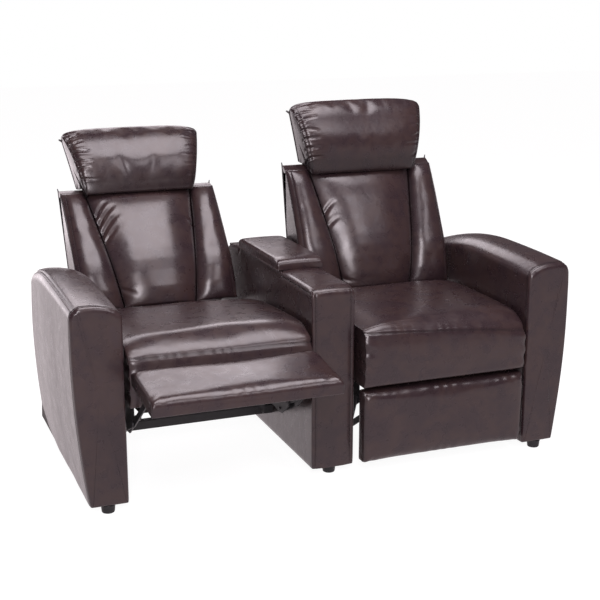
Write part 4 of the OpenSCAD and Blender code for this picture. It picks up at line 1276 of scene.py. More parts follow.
@dataclass
class Console:
    """The console between the seats: covers, pads and the lid over its storage."""

    width: float = 128.0
    depth: float = 755.0
    height: float = 550.0
    front_t: float = 12.0
    edge_r: float = 12.0
    lid_y: float = 251.0
    lid_l: float = 361.0
    lid_w: float = 146.0
    lid_t: float = 34.0
    lid_gap: float = 0.5
    rear_y: float = 628.0
    fall: float = 24.0
    pad_t: float = 14.0
    cover_t: float = 8.0
    rim_l: float = 7.0
    seam_in: float = 11.0
    roll: tuple[float, float] = (34.0, 20.0)

    def section(self, top: float, bottom: float, half: float, r: float, count: int = 8) -> Array:
        """Outline across the console: x and z, rounded at the top."""
        arc = np.radians(np.linspace(0, 90, count))
        sides = np.linspace(bottom + 4, top - r, 14)[:-1]
        right = columns(np.full(len(sides), half), sides)
        corner = columns(half - r * (1 - np.cos(arc)), top - r * (1 - np.sin(arc)))
        across = np.linspace(half - r, -half + r, 9)[1:-1]
        crown = top + 2.0 * np.sin(np.linspace(0, math.pi, 9))[1:-1]
        foot = np.array([[-half + 3, bottom], [0, bottom], [half - 3, bottom]])
        return np.concatenate([right, corner, columns(across, crown),
                               corner[::-1] * [-1, 1], right[::-1] * [-1, 1], foot])

    def block(self, y0: float, y1: float, tops: Callable[[float], float], bottom: float,
              rounding: tuple[float, float]) -> Shape:
        """A padded block of the console's width.

        Args:
            y0: Its front.
            y1: Its rear.
            tops: Height of its top at a depth.
            bottom: Height of its underside.
            rounding: Radii of its front and rear edges.

        Returns:
            The closed shape.
        """
        rings = []
        length = y1 - y0
        ys = [0.0, 0.15, 0.5, 1.0]
        front = [y0 + rounding[0] * s for s in ys]
        rear = [y1 - rounding[1] * s for s in ys[::-1]]
        middle = np.linspace(front[-1], rear[0], max(4, int(length / 16)))[1:-1]
        for y in [*front, *middle, *rear]:
            a = max(0.0, 1 - (y - y0) / max(rounding[0], 0.01))
            b = max(0.0, 1 - (y1 - y) / max(rounding[1], 0.01))
            inset = rounding[0] * (1 - math.sqrt(max(0, 1 - a**2))) * 0.9 \
                + rounding[1] * (1 - math.sqrt(max(0, 1 - b**2))) * 0.9
            flat = self.section(tops(y) - inset, bottom, self.width / 2 - inset, self.edge_r)
            rings.append(front_ring(y, flat))
        return skin(np.array(rings), steps=5, dome=(1.5, 1.5), rim=0.04)

    def rolled_top(self, y: float) -> float:
        """Height of the top at a depth, with its wide roll over the front."""
        deep, tall = self.roll
        ahead = min(1.0, max(0.0, 1 - y / deep))
        return self.height - tall * (1 - math.sqrt(1 - ahead**2))

    def side_top(self, y: float) -> float:
        """Height of the side covers' upper edge at a depth."""
        if self.lid_y <= y <= self.lid_y + self.lid_l + self.rim_l:
            return self.height
        share = max(0.0, (y - self.rear_y) / (self.depth - self.rear_y))
        return self.height - self.pad_t - self.fall * share

    def panel_ring(self, y: float, top: float, xs: tuple[float, float], count: int) -> Array:
        """Ring up one side of a thin panel and down the other, at a depth."""
        zs = np.linspace(ROW.foot_h, top, count)
        up, down = (columns(np.full(count, x), zs) for x in xs)
        return front_ring(y, np.concatenate([up, down[::-1]]))

    def rear_top(self, y: float) -> float:
        """Height of the rear block's top at a depth."""
        return self.height - self.fall * ((y - self.rear_y) / (self.depth - self.rear_y))**1.6

    def body_shell(self) -> Shape:
        """Side and rear covers round the box, with the sides higher at the lid."""
        half, t = self.width / 2, self.cover_t
        opening = self.lid_y + self.lid_l + self.rim_l
        ys = np.concatenate([[self.front_t], np.linspace(self.front_t + 4, self.lid_y - 1, 16),
                             np.linspace(self.lid_y, opening, 24),
                             np.linspace(opening + 1, self.depth - 1, 12)])
        made = [skin(np.array([self.panel_ring(y, self.side_top(float(y)),
                                               (sign * half, sign * (half - t)), 24)
                               for y in ys]), steps=1) for sign in (-1, 1)]
        insets = ((t, 0.0), (3, 0.0), (0.8, 1.0), (0, 3.0))
        rear = np.array([self.panel_ring(self.depth - ahead, self.side_top(self.depth),
                                         (half - inset, inset - half), 20)
                         for ahead, inset in insets])
        return joined([*made, skin(rear, steps=4)])

    def lid(self) -> Shape:
        """The lid's boxed pad with its rounded edges."""
        foot = self.height + self.lid_gap
        shares = np.array([[-0.97, 0], [0, 0], [0.97, 0], [0.995, 0.1], [1, 0.3], [1, 0.62],
                           [0.985, 0.78], [0.95, 0.875], [0.86, 0.935], [0.6, 0.975],
                           [0, 1], [-0.6, 0.975], [-0.86, 0.935], [-0.95, 0.875],
                           [-0.985, 0.78], [-1, 0.62], [-1, 0.3], [-0.995, 0.1]])
        places = even_places(shares * [self.lid_w / 2, self.lid_t], 72)
        ends = [(0, 0.5, 0.955), (0.006, 0.66, 0.98), (0.018, 0.8, 0.992),
                (0.042, 0.91, 1.0), (0.09, 0.97, 1.0)]
        ends += [(s, 1.0 - 0.02 * abs(2 * s - 1)**2, 1.0) for s in np.linspace(0.12, 0.88, 30)]
        ends += [(1 - a, b, c) for a, b, c in ends[4::-1]]
        rings = []
        for s, tall, wide in ends:
            flat = curve_at(shares * [self.lid_w / 2 * wide, self.lid_t * tall], places)
            rings.append(front_ring(self.lid_y + s * self.lid_l, flat + [0, foot]))
        return skin(np.array(rings), steps=5, dome=(1.0, 1.0), rim=0.05)

    def build(self, shop: Workshop) -> None:
        """Makes the console's pieces."""
        place = console_place()
        shop.soft("console_cover", self.body_shell(), place, "base", ("console_covers",), 0.9)
        front = self.block(0, self.front_t + 3, self.rolled_top, ROW.foot_h, (5.0, 2.0))
        shop.soft("console_front", front, place, "base", ("console_front_pad",), 0.9,
                  relief=self.front_relief, seam=self.front_seam)
        top = self.block(self.front_t + 3, self.lid_y - 0.8, self.rolled_top,
                         self.height - self.pad_t, (0.6, 3.0))
        shop.soft("console_top", top, place, "base", ("console_top_pad",), 0.9)
        rear = self.block(self.rear_y, self.depth, self.rear_top,
                          self.height - self.pad_t - self.fall, (6.0, 8.0))
        shop.soft("console_rear", rear, place, "base", ("console_rear_pad",), 0.85)
        shop.soft("console_lid", self.lid(), place, "lid", ("lid_pad",), 0.85,
                  relief=self.lid_relief)
        zs = np.linspace(ROW.foot_h + 8, self.height - 18, 90)
        out = np.array([0, -1.0, 0])
        rows = [stitches(columns(np.full(90, x), np.full(90, -1.0), zs), out)
                for x in (self.seam_in - self.width / 2, self.width / 2 - self.seam_in)]
        shop.hard("console_stitches", joined(rows), place, "base", shop.finishes.thread,
                  Slot.LEATHER)

    def front_relief(self, p: Array) -> Array:
        """Gutters of the two upright seams and puckers under the top edge."""
        x, y, z = p.T
        face = bell(np.maximum(0, y), 5)
        seam = sum(seam_gutter(x - s * (self.width / 2 - self.seam_in), 2.6, 1.6)
                   for s in (-1, 1))
        pucker = 0.5 * np.sin(x / 3.7) * bell(self.height - 14 - z, 14)
        return face * (seam + pucker)

    def front_seam(self, p: Array) -> Array:
        """Darkening beside the upright seams."""
        x, y, _ = p.T
        near = sum(bell(x - s * (self.width / 2 - self.seam_in), 2.6) for s in (-1, 1))
        return 0.6 * near + 0.6 * bell(y - self.front_t - 2, 3)

    def lid_relief(self, p: Array) -> Array:
        """Seam gutter round the lid's upper edge, and its settled top."""
        x, y, z = p.T
        rise = (z - self.height - self.lid_gap) / self.lid_t
        edge = seam_gutter((rise - 0.8) * self.lid_t, 2.2, 1.1)
        side = (np.abs(x) > self.lid_w / 2 - 6) | (y < self.lid_y + 6) \
            | (y > self.lid_y + self.lid_l - 6)
        return edge * side + 0.5 * np.sin(x / 23) * np.sin(y / 47) * (rise > 0.9)


@dataclass
class Seat:
    """A boxed seat cushion with a rolled front, and the tongue that runs under the back."""

    side: Side
    width: float = 512.0
    depth: float = 526.0
    low: float = 264.0
    height: float = 180.0
    side_drop: float = 14.0
    tongue_l: float = 120.0
    tongue_w: float = 416.0
    tongue_z: float = 398.0
    tongue_tuck: float = 14.0
    slack_tuck: float = 24.0
    slack_tail: float = 22.0

    REAR = np.array([
        [0.02, 0], [0.18, 0], [0.35, 0], [0.52, 0], [0.7, 0], [0.85, 0], [1, 0], [1, 0.25],
        [1, 0.5], [1, 0.73], [0.98, 0.765], [0.935, 0.815], [0.9, 0.862], [0.865, 0.955],
        [0.8, 0.995], [0.7, 1.005], [0.6, 1.008], [0.5, 1.008], [0.4, 1.006], [0.32, 1.003]])

    # How high the slack cover stands over the rear strip at depths behind the front.
    SLACK = np.array([[502, 0.4], [512, 20], [524, 26], [560, 22], [600, 15], [610, 12.5],
                      [618, 4.5], [630, 3.2], [644, 1.2]])

    def roll(self, x: Array) -> tuple[Array, Array]:
        """Depth and height of the front roll at places across the cushion."""
        share = unit(x / self.width + 0.5)
        if self.side is Side.LEFT:
            return 96 + 12 * share, 54 + 6 * share
        return 30 + 66 * share**1.3, 24 + 44 * share**1.5

    def outline(self, x: float, drop: float) -> Array:
        """Outline of the cushion in side view at a place across it.

        Args:
            x: The place across.
            drop: How far the top falls there.

        Returns:
            Points of y and z over the cushion's lower front edge.
        """
        depth, height = self.roll(np.array(x))
        turn = np.radians(np.linspace(90, 0, 9))
        top = self.height - 1.5
        rolled = columns(depth * (1 - np.cos(turn)), top - height * (1 - np.sin(turn)))
        fall = np.linspace(0, 1, 8)[1:]
        low = top - height
        face = columns(np.zeros(7), low + (8 - low) * fall)
        front = np.concatenate([rolled, face])
        front[:, 0] -= 7 * np.sin(math.pi * unit(front[:, 1] / (top - 0.3 * height)))
        flat = np.concatenate([self.REAR * [self.depth, self.height], front])
        flat[:, 1] = np.minimum(flat[:, 1], flat[:, 1] - drop * (flat[:, 1] > 0.5 * self.height))
        return flat

    def shape(self) -> Shape:
        """The cushion's skin, one ring per place across its width."""
        places = even_places(self.outline(0.0, 0.0), 150)
        rings = []
        for s in spread((0.996, 0.988, 0.975, 0.955), 0.93, 52):
            a = abs(s)
            shoulder = 0.6 if self.side is Side.LEFT and s > 0 else 1.0
            flat = self.outline(s * self.width / 2,
                                self.side_drop * shoulder * (0.05 * a**2 + 0.95 * a**7))
            pull = 0.0 if a < 0.93 else 5.0 * ((a - 0.93) / 0.07)**2.5
            ahead = unit((self.depth / 2 - flat[:, 0]) / 60) * (flat[:, 1] > 3)
            flat[:, 0] += pull * ahead
            rear = (flat[:, 0] > 0.97 * self.depth) & (flat[:, 1] > 0.7 * self.height)
            flat[rear, 1] = np.minimum(flat[rear, 1], self.tongue_z - self.low + 4)
            rings.append(side_ring(s * self.width / 2, curve_at(flat, places) + [0, self.low]))
        return skin(np.array(rings), steps=7, dome=(1.5, 1.5), rim=0.015)

    def tongue(self) -> Shape:
        """The low strip of cover behind the cushion, under the back."""
        y0, y1 = self.depth - self.tongue_tuck, self.depth + self.tongue_l
        top = self.tongue_z - self.low
        ys = np.linspace(0, 1, 22)
        outline = np.concatenate([
            columns(y0 + (y1 - y0) * ys, np.zeros(22)),
            [[y1, top * 0.5]],
            columns(y1 - (y1 - y0) * ys, np.full(22, top)),
            [[y0, top * 0.5]]])
        rings = []
        for s in spread((0.985, 0.96), 0.92, 34):
            flat = outline + [0, self.low]
            fall = 7 * max(0.0, (abs(s) - 0.9) / 0.1)**2
            flat[:, 1] = np.minimum(flat[:, 1], self.tongue_z - fall)
            rings.append(side_ring(s * self.tongue_w / 2, flat))
        return skin(np.array(rings), steps=3)

    def rear_folds(self) -> list[Fold]:
        """Long folds where the cover slackens in front of the back."""
        if self.side is Side.RIGHT:
            return [Fold((-200, 470), (40, 474), 7, 1.6, 4),
                    Fold((230, 440), (120, 462), 9, 1.6, 4)]
        return [Fold((-246, 448), (120, 466), 9, 3.0, 7), Fold((-225, 482), (90, 490), 8, 3.0, -5),
                Fold((246, 462), (-60, 484), 9, 2.8, 6)]

    def near_front(self, y: Array) -> Array:
        """One at the cushion's front, fading behind it."""
        return bell(np.maximum(0, y - 8), 14)

    def seam_gap(self, x: Array, z: Array) -> Array:
        """Height over the seam that runs below the front roll."""
        return z - self.low - self.height + 1.5 + 0.88 * self.roll(x)[1]

    def relief(self, p: Array) -> Array:
        """Front seam with its puckers, rear folds and the settled top."""
        x, y, z = p.T
        rise = (z - self.low) / self.height
        folds = fold_height(columns(x, y), self.rear_folds())
        folds = folds * (rise > 0.6)
        gap = self.seam_gap(x, z)
        front = self.near_front(y)
        seam = seam_gutter(gap, 3.0, 1.6) * front
        wobble = np.sin(x / 5.1 + 1.9 * np.sin(x / 23)) * (0.6 + 0.4 * np.sin(x / 61 + 1.0))
        near_left = np.clip(0.35 - x / self.width, 0.25, 1)
        pucker = 1.3 * near_left * wobble * bell(gap, 15) * front
        top = (rise > 0.93) * unit((y - 60) / 60)
        dish = -2.6 * np.exp(-((x - 10) / 150)**2 - ((y - 290) / 130)**2) * top
        ends = unit(1 - (self.width / 2 - np.abs(x)) / 40)
        corner = 1.8 * np.sin(z / 6.5 + x / 30) * ends * front * (rise < 0.84)
        slow = 1.2 * np.sin(x / 66 + 0.7) * unit(rise * 4 - 2.6)
        return folds + seam + pucker + dish + corner + slow

    def seam_shade(self, p: Array) -> Array:
        """Darkening at the front seam and along the side edges."""
        x, y, z = p.T
        front = self.near_front(y) * bell(self.seam_gap(x, z), 3.2)
        side = bell(self.width / 2 - np.abs(x), 3.5)
        return 0.6 * front + 0.5 * side

    def pinned(self, p: Array) -> Array:
        """Sewn edges and the underside stay where they are."""
        x, y, z = p.T
        rise = (z - self.low) / self.height
        edge = unit(1 - (self.width / 2 - np.abs(x) - 6) / 12)
        low = unit((0.2 - rise) / 0.1)
        rear = unit((y - self.depth * 0.86) / 12)
        seam = unit(1 - np.abs(self.seam_gap(x, z)) / 5) * (y < 30)
        return np.maximum.reduce([edge, low, rear, seam])

    def build(self, shop: Workshop) -> None:
        """Makes the seat's pieces."""
        place, label = seat_place(self.side), self.side.label
        body = f"{label}_seat"
        shop.soft(f"{label}_seat_pad", self.shape(), place, body, (f"{label}_seat_cushion",),
                  0.8, Puff(self.pinned, pressure=2.5, limit=4.5, even=10), self.relief,
                  self.seam_shade)
        shop.soft(f"{label}_seat_rear_strip", self.tongue(), place, body,
                  (f"{label}_seat_tongue",), 0.6, relief=self.tongue_relief)
        if self.side is Side.LEFT:
            slack = shop.soft(f"{label}_seat_slack_cover", self.slack(), place, body, (), 0.5,
                              relief=self.slack_relief)
            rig.squash(slack, "left_recline", keep=0.03,
                      **place.squash_line((0.0, self.depth, self.tongue_z + 0.6)))

    def slack(self) -> Shape:
        """Slack cover heaped on the rear strip, which lies flat when the back is upright."""
        half = self.tongue_w / 2 - 4
        share = np.linspace(0, 1, 40)
        rings = []
        for s in spread((0.99, 0.97), 0.94, 44):
            full = math.sqrt(max(0.0, 1 - abs(s)**8))
            ys = self.depth - self.slack_tuck + share * (self.tongue_l + self.slack_tail)
            rise = full * np.interp(ys, self.SLACK[:, 0], self.SLACK[:, 1])
            top = columns(ys, self.tongue_z + 1 + rise)[::-1]
            low = columns(ys, np.full(40, self.tongue_z + 0.8))[1:-1]
            rings.append(side_ring(s * half, np.concatenate([low, top])))
        return skin(np.array(rings), steps=2)

    def slack_relief(self, p: Array) -> Array:
        """Long soft folds across the slack cover."""
        x, y, z = p.T
        top = unit((z - self.tongue_z - 4) / 8)
        wave = 2.4 * np.sin(y / 7.5 + 0.9 * np.sin(x / 70) + x / 190) * (0.7 + 0.3 * np.sin(x / 41))
        return top * wave

    def tongue_relief(self, p: Array) -> Array:
        """Folds along the strip, where no slack cover lies on it."""
        x, y, z = p.T
        if self.side is Side.LEFT:
            return np.zeros(len(p))
        top = z > self.tongue_z - 12
        return fold_height(columns(x, y), self.rear_folds()) * top


@dataclass
class Back:
    """A back of three cushions on a panel: a wedge in the middle and a bolster each side."""

    side: Side
    width: float = 506.0
    length: float = 577.0
    foot_v: float = 168.0
    seam_drop: float = 20.0
    thick: float = 115.0
    top_thick: float = 31.0
    panel_w: tuple[float, float] = (229.0, 349.0)
    panel_crown: float = 20.0
    bolster_crown: float = 20.0
    seam_step: float = 10.0
    board_front: float = 21.0
    foot_n: float = 25.5
    gusset_t: float = 5.6
    stitch_in: float = 12.0
    tuck: float = 9.0
    panel_rise: float = 6.0
    slack: float = 15.0

    SEAM = np.array([[0, 0], [0.14, -0.03], [0.27, 0.01], [0.36, 0.08], [0.45, 0.18],
                     [0.6, 0.38], [0.76, 0.6], [0.9, 0.82], [1, 1]])

    @property
    def top_v(self) -> float:
        """Place of the seam along the top front."""
        return self.length - self.seam_drop

    def v(self, t: Array) -> Array:
        """Place up the back at a share of the cushions' length."""
        foot = self.foot_v - (self.slack if self.side is Side.LEFT else 0.0)
        return blend(foot, self.top_v, t)

    def share_up(self, v: Array) -> Array:
        """Share of the cushions' length at a place up the back."""
        foot = float(self.v(0.0))
        return unit((v - foot) / (self.top_v - foot))

    def outer_seam(self, t: Array) -> Array:
        """Height of the outer seams over the rear face."""
        return blend(self.thick, self.top_thick, np.interp(t, self.SEAM[:, 0], self.SEAM[:, 1]))

    def inner_seam(self, t: Array) -> Array:
        """Height of the seams beside the middle cushion."""
        return self.outer_seam(t) + self.seam_step * (1 - 0.5 * t)

    def panel_half(self, t: Array) -> Array:
        """Half the middle cushion's width."""
        return blend(self.panel_w[0], self.panel_w[1], t) / 2

    def full(self, t: Array) -> Array:
        """Fullness along a cushion: nought at its ends."""
        return np.sqrt(np.maximum(0, 1 - np.abs(2 * t - 1)**6))

    def bolster_front(self, t: Array, across: Array) -> Array:
        """Height of a bolster's front at a share up it and across it."""
        swell = np.maximum(0, 1 - np.abs(2 * across - 1)**2.6)**0.8
        seam = self.inner_seam(t) - self.tuck
        return seam + (self.outer_seam(t) - seam) * across \
            + (self.bolster_crown + 6) * swell * (0.3 + 0.7 * self.full(t))

    def cushion_ring(self, t: float, flat: Array) -> Array:
        """Ring of a cushion's x and n, which leans a little up near the foot."""
        lean = 0.02 * (1 - t)
        lift = lean * np.maximum(0, flat[:, 1] - self.board_front)
        return columns(flat[:, 0], flat[:, 1], self.v(t) + lift)

    def steps(self) -> Array:
        """Shares of the length at which rings lie."""
        return np.concatenate([[0, 0.006, 0.016, 0.032], np.linspace(0.055, 0.95, 44),
                               [0.97, 0.985, 0.994, 1]])

    def panel(self) -> Shape:
        """The middle cushion."""
        across = -spread((0.992, 0.975, 0.95), 0.915, 34)
        crown = np.maximum(0, 1 - np.abs(across)**2.6)**0.8
        rings = []
        for t in self.steps():
            half = float(self.panel_half(t)) - 1.0
            seam = float(self.inner_seam(t)) - self.tuck
            n = np.maximum(self.foot_n + 1, seam + (self.panel_crown + self.tuck) * crown
                           * (0.35 + 0.65 * float(self.full(t))))
            low = np.linspace(self.foot_n, max(self.foot_n + 0.5, n[0] - 2), 5)[:-1]
            right = columns(np.full(4, half), low)
            left = columns(np.full(4, -half), low[::-1])
            base = columns(np.linspace(-half, half, 14)[1:-1], np.full(12, self.foot_n))
            flat = np.concatenate([right, columns(across * half, n), left, base])
            rings.append(self.cushion_ring(t, flat))
        return skin(np.array(rings), steps=4, dome=(1.0, 1.0))

    def bolster(self) -> Shape:
        """The right-hand bolster with its flat outer gusset."""
        across = np.concatenate([[1, 0.992, 0.975, 0.94], np.linspace(0.89, 0.1, 17),
                                 [0.06, 0.03, 0.01, 0.0]])
        rings = []
        for t in self.steps():
            inner = float(self.panel_half(t)) + 1.0
            seam = float(self.inner_seam(t)) - self.tuck
            n = np.maximum(self.bolster_front(t, across), self.foot_n + 1)
            front = columns(inner + across * (self.width / 2 - inner), n)
            gusset = columns(np.full(9, self.width / 2 - 0.5),
                             np.linspace(1.0, n[0] - 3, 9))
            lining = self.width / 2 - self.gusset_t
            inside = np.array([[inner, (self.foot_n + seam) / 2], [inner, self.foot_n],
                               [(inner + self.width / 2) / 2, self.foot_n],
                               [lining, self.foot_n], [lining, 12.0], [lining, 1.0]])
            flat = np.concatenate([gusset, front, inside])
            rings.append(self.cushion_ring(t, flat))
        return skin(np.array(rings), steps=3, dome=(0.5, 0.5))

    def cover(self) -> Shape:
        """The rear panel with its rolled top edge."""
        rings = []
        top = self.top_v
        foot = self.foot_v + self.panel_rise
        line = np.array([
            [0.8, foot], [0.0, foot + 6], [-0.8, foot + 60],
            [-1.0, (self.foot_v + top) / 2], [-0.6, top - 40], [0, top - 4], [0.2, top + 8],
            [1.2, top + 16], [3.2, self.length], [6.5, self.length - 0.6],
            [12, self.length - 5], [21, top + 7.5], [27, top + 2], [30, top - 3],
            [26, top - 5], [12, top - 2.5], [6, top - 3], [6, (self.foot_v + top) / 2],
            [6, foot + 6], [5.5, foot]])
        places = even_places(line, 110)
        for s in spread((0.996, 0.985), 0.96, 40):
            inset = 2.5 * max(0.0, (abs(s) - 0.96) / 0.04)**2
            flat = curve_at(line, places)
            flat[:, 0] += inset * (flat[:, 0] < 4)
            rings.append(side_ring(s * self.width / 2, flat))
        return skin(np.array(rings), steps=2)

    def panel_folds(self) -> list[Fold]:
        """Pulls at the middle cushion's seams; the reclined back has the deep ones."""
        if self.side is Side.LEFT:
            return [Fold((-152, 470), (-112, 520), 9, 5.0, 4),
                    Fold((-148, 440), (-90, 504), 10, 6.0, 5),
                    Fold((-142, 408), (-78, 474), 11, 5.4, 5),
                    Fold((-138, 376), (-96, 424), 9, 3.6, 3),
                    Fold((150, 420), (118, 450), 9, 2.4, -3),
                    Fold((-112, 210), (-70, 190), 9, 2.4)]
        return [Fold((-146, 420), (-108, 456), 9, 3.2, 3),
                Fold((-138, 380), (-104, 404), 8, 2.4, 2),
                Fold((148, 430), (116, 458), 9, 2.2, -3),
                Fold((-110, 205), (-66, 192), 9, 2.4)]

    def panel_relief(self, p: Array) -> Array:
        """Folds and slow waves of the middle cushion."""
        x, n, v = p.T
        front = unit((n - self.foot_n - 12) / 10)
        flat = columns(x, v)
        wave = 1.1 * np.sin(v / 61 + 0.6) * np.cos(x / 74) + 0.7 * np.sin(x / 31 + v / 88)
        low = -0.8 * bell(v - 250, 40) * np.cos(x / 60)
        return front * (fold_height(flat, self.panel_folds()) + wave + low)

    def bolster_relief(self, p: Array) -> Array:
        """Slow waves of a bolster and the gutter of its outer stitching."""
        x, n, v = p.T
        front = unit((n - self.outer_seam(self.share_up(v)) + 6) / 6)
        seam = seam_gutter(np.abs(x) - (self.width / 2 - self.stitch_in), 2.4, 1.3)
        wave = 0.9 * np.sin(v / 47 + 1.2 + 0.4 * np.sign(x))
        return front * (seam + wave)

    def panel_shade(self, p: Array) -> Array:
        """Print darker at the seams, and painted shade in the deep seams beside the middle cushion."""
        gap = self.panel_half(self.share_up(p[:, 2])) - np.abs(p[:, 0])
        return 0.8 * bell(gap, 8)

    def bolster_shade(self, p: Array) -> Array:
        """Darkening at both of a bolster's seams: print darker at the seams, with painted shade in the deep inner seam.
        """
        a, half = np.abs(p[:, 0]), self.width / 2
        # Print and painted shade in the deep seam beside the middle cushion.
        inner = bell(a - self.panel_half(self.share_up(p[:, 2])), 8)
        outer = sum(bell(a - x, 3) for x in (half - self.stitch_in, half))
        return 0.8 * inner + 0.45 * outer

    def panel_pinned(self, p: Array) -> Array:
        """The middle cushion is sewn at its sides and ends."""
        x, _, v = p.T
        gap = self.panel_half(self.share_up(v)) - np.abs(x)
        ends = np.minimum(v - self.v(0.0), self.top_v - v)
        return unit(np.maximum(1 - (gap - 4) / 10, 1 - (ends - 3) / 10))

    def bolster_pinned(self, p: Array) -> Array:
        """A bolster is sewn at its seams and stretched over its gusset."""
        x, n, v = p.T
        t = self.share_up(v)
        a = np.abs(x)
        gap = np.minimum(a - self.panel_half(t), self.width / 2 - a)
        ends = np.minimum(v - self.v(0.0), self.top_v - v)
        hidden = (n < self.outer_seam(t) - 4).astype(float)
        return unit(np.maximum.reduce([1 - (gap - 3) / 8, 1 - (ends - 3) / 10, hidden]))

    def piping(self) -> Shape:
        """Piping down the rear side edges with the ears at the top corners."""
        half = self.width / 2
        vs = np.linspace(self.foot_v + 2, self.length - 6, 40)
        path = columns(np.full(40, half - 1.0), np.full(40, 1.2), vs)
        ear = np.array([[half - 0.5, 1.5, self.length - 2], [half + 0.6, 2.0, self.length + 4],
                        [half + 1.4, 2.4, self.length + 8]])
        path = smooth_line([*path[::6], *ear], 60)
        radius = np.full(60, 2.3)
        radius[-4:] = [2.3, 2.2, 2.0, 1.4]
        return on_both_sides(cord(path, radius))

    def seam_piping(self) -> Shape:
        """Fine welts along the outer front seams."""
        half = self.width / 2
        t = np.linspace(0.01, 1, 60)
        path = columns(np.full(60, half - 0.6), self.outer_seam(t) - 1.0, self.v(t))
        return on_both_sides(cord(path, np.full(60, 1.5), 8))

    def stitch_rows(self) -> Shape:
        """Stitches beside the outer front seams."""
        t = np.linspace(0.02, 0.98, 80)
        inner, x = self.panel_half(t), self.width / 2 - self.stitch_in
        n = self.bolster_front(t, (x - inner) / (self.width / 2 - inner)) - 1.0
        path = columns(np.full(80, x), n, self.v(t))
        return on_both_sides(stitches(path, np.array([0.5, 0.85, 0])))

    def build(self, shop: Workshop) -> None:
        """Makes the back's pieces."""
        place, label = back_place(self.side), self.side.label
        body = f"{label}_back"
        pads = [shop.soft(f"{label}_back_panel", self.panel(), place, body,
                          (f"{label}_back_panel_cushion",), 0.8,
                          Puff(self.panel_pinned, pressure=2.5, spare=0.008, limit=5.0),
                          self.panel_relief, self.panel_shade)]
        bolster = self.bolster()
        for end, shape in (("right", bolster), ("left", bolster.mirrored())):
            stands_for = (f"{label}_back_bolsters",) if end == "right" else ()
            pads.append(shop.soft(f"{label}_back_bolster_{end}", shape, place, body, stands_for,
                                  0.85, Puff(self.bolster_pinned, pressure=2.0, limit=4.0),
                                  self.bolster_relief, self.bolster_shade))
        if self.side is Side.LEFT:
            line = place.squash_line((0.0, 0.0, self.top_v))
            keep = (self.top_v - self.foot_v - 1) / (self.top_v - self.foot_v + self.slack)
            for pad in pads:
                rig.squash(pad, "left_recline", keep=keep, **line)
        shop.soft(f"{label}_back_rear_panel", self.cover(), place, body,
                  (f"{label}_back_cover",), 0.9)
        shop.hard(f"{label}_back_piping", joined([self.piping(), self.seam_piping()]), place,
                  body, shop.finishes.piping, Slot.LEATHER)
        shop.hard(f"{label}_back_stitches", self.stitch_rows(), place, body,
                  shop.finishes.thread, Slot.LEATHER)


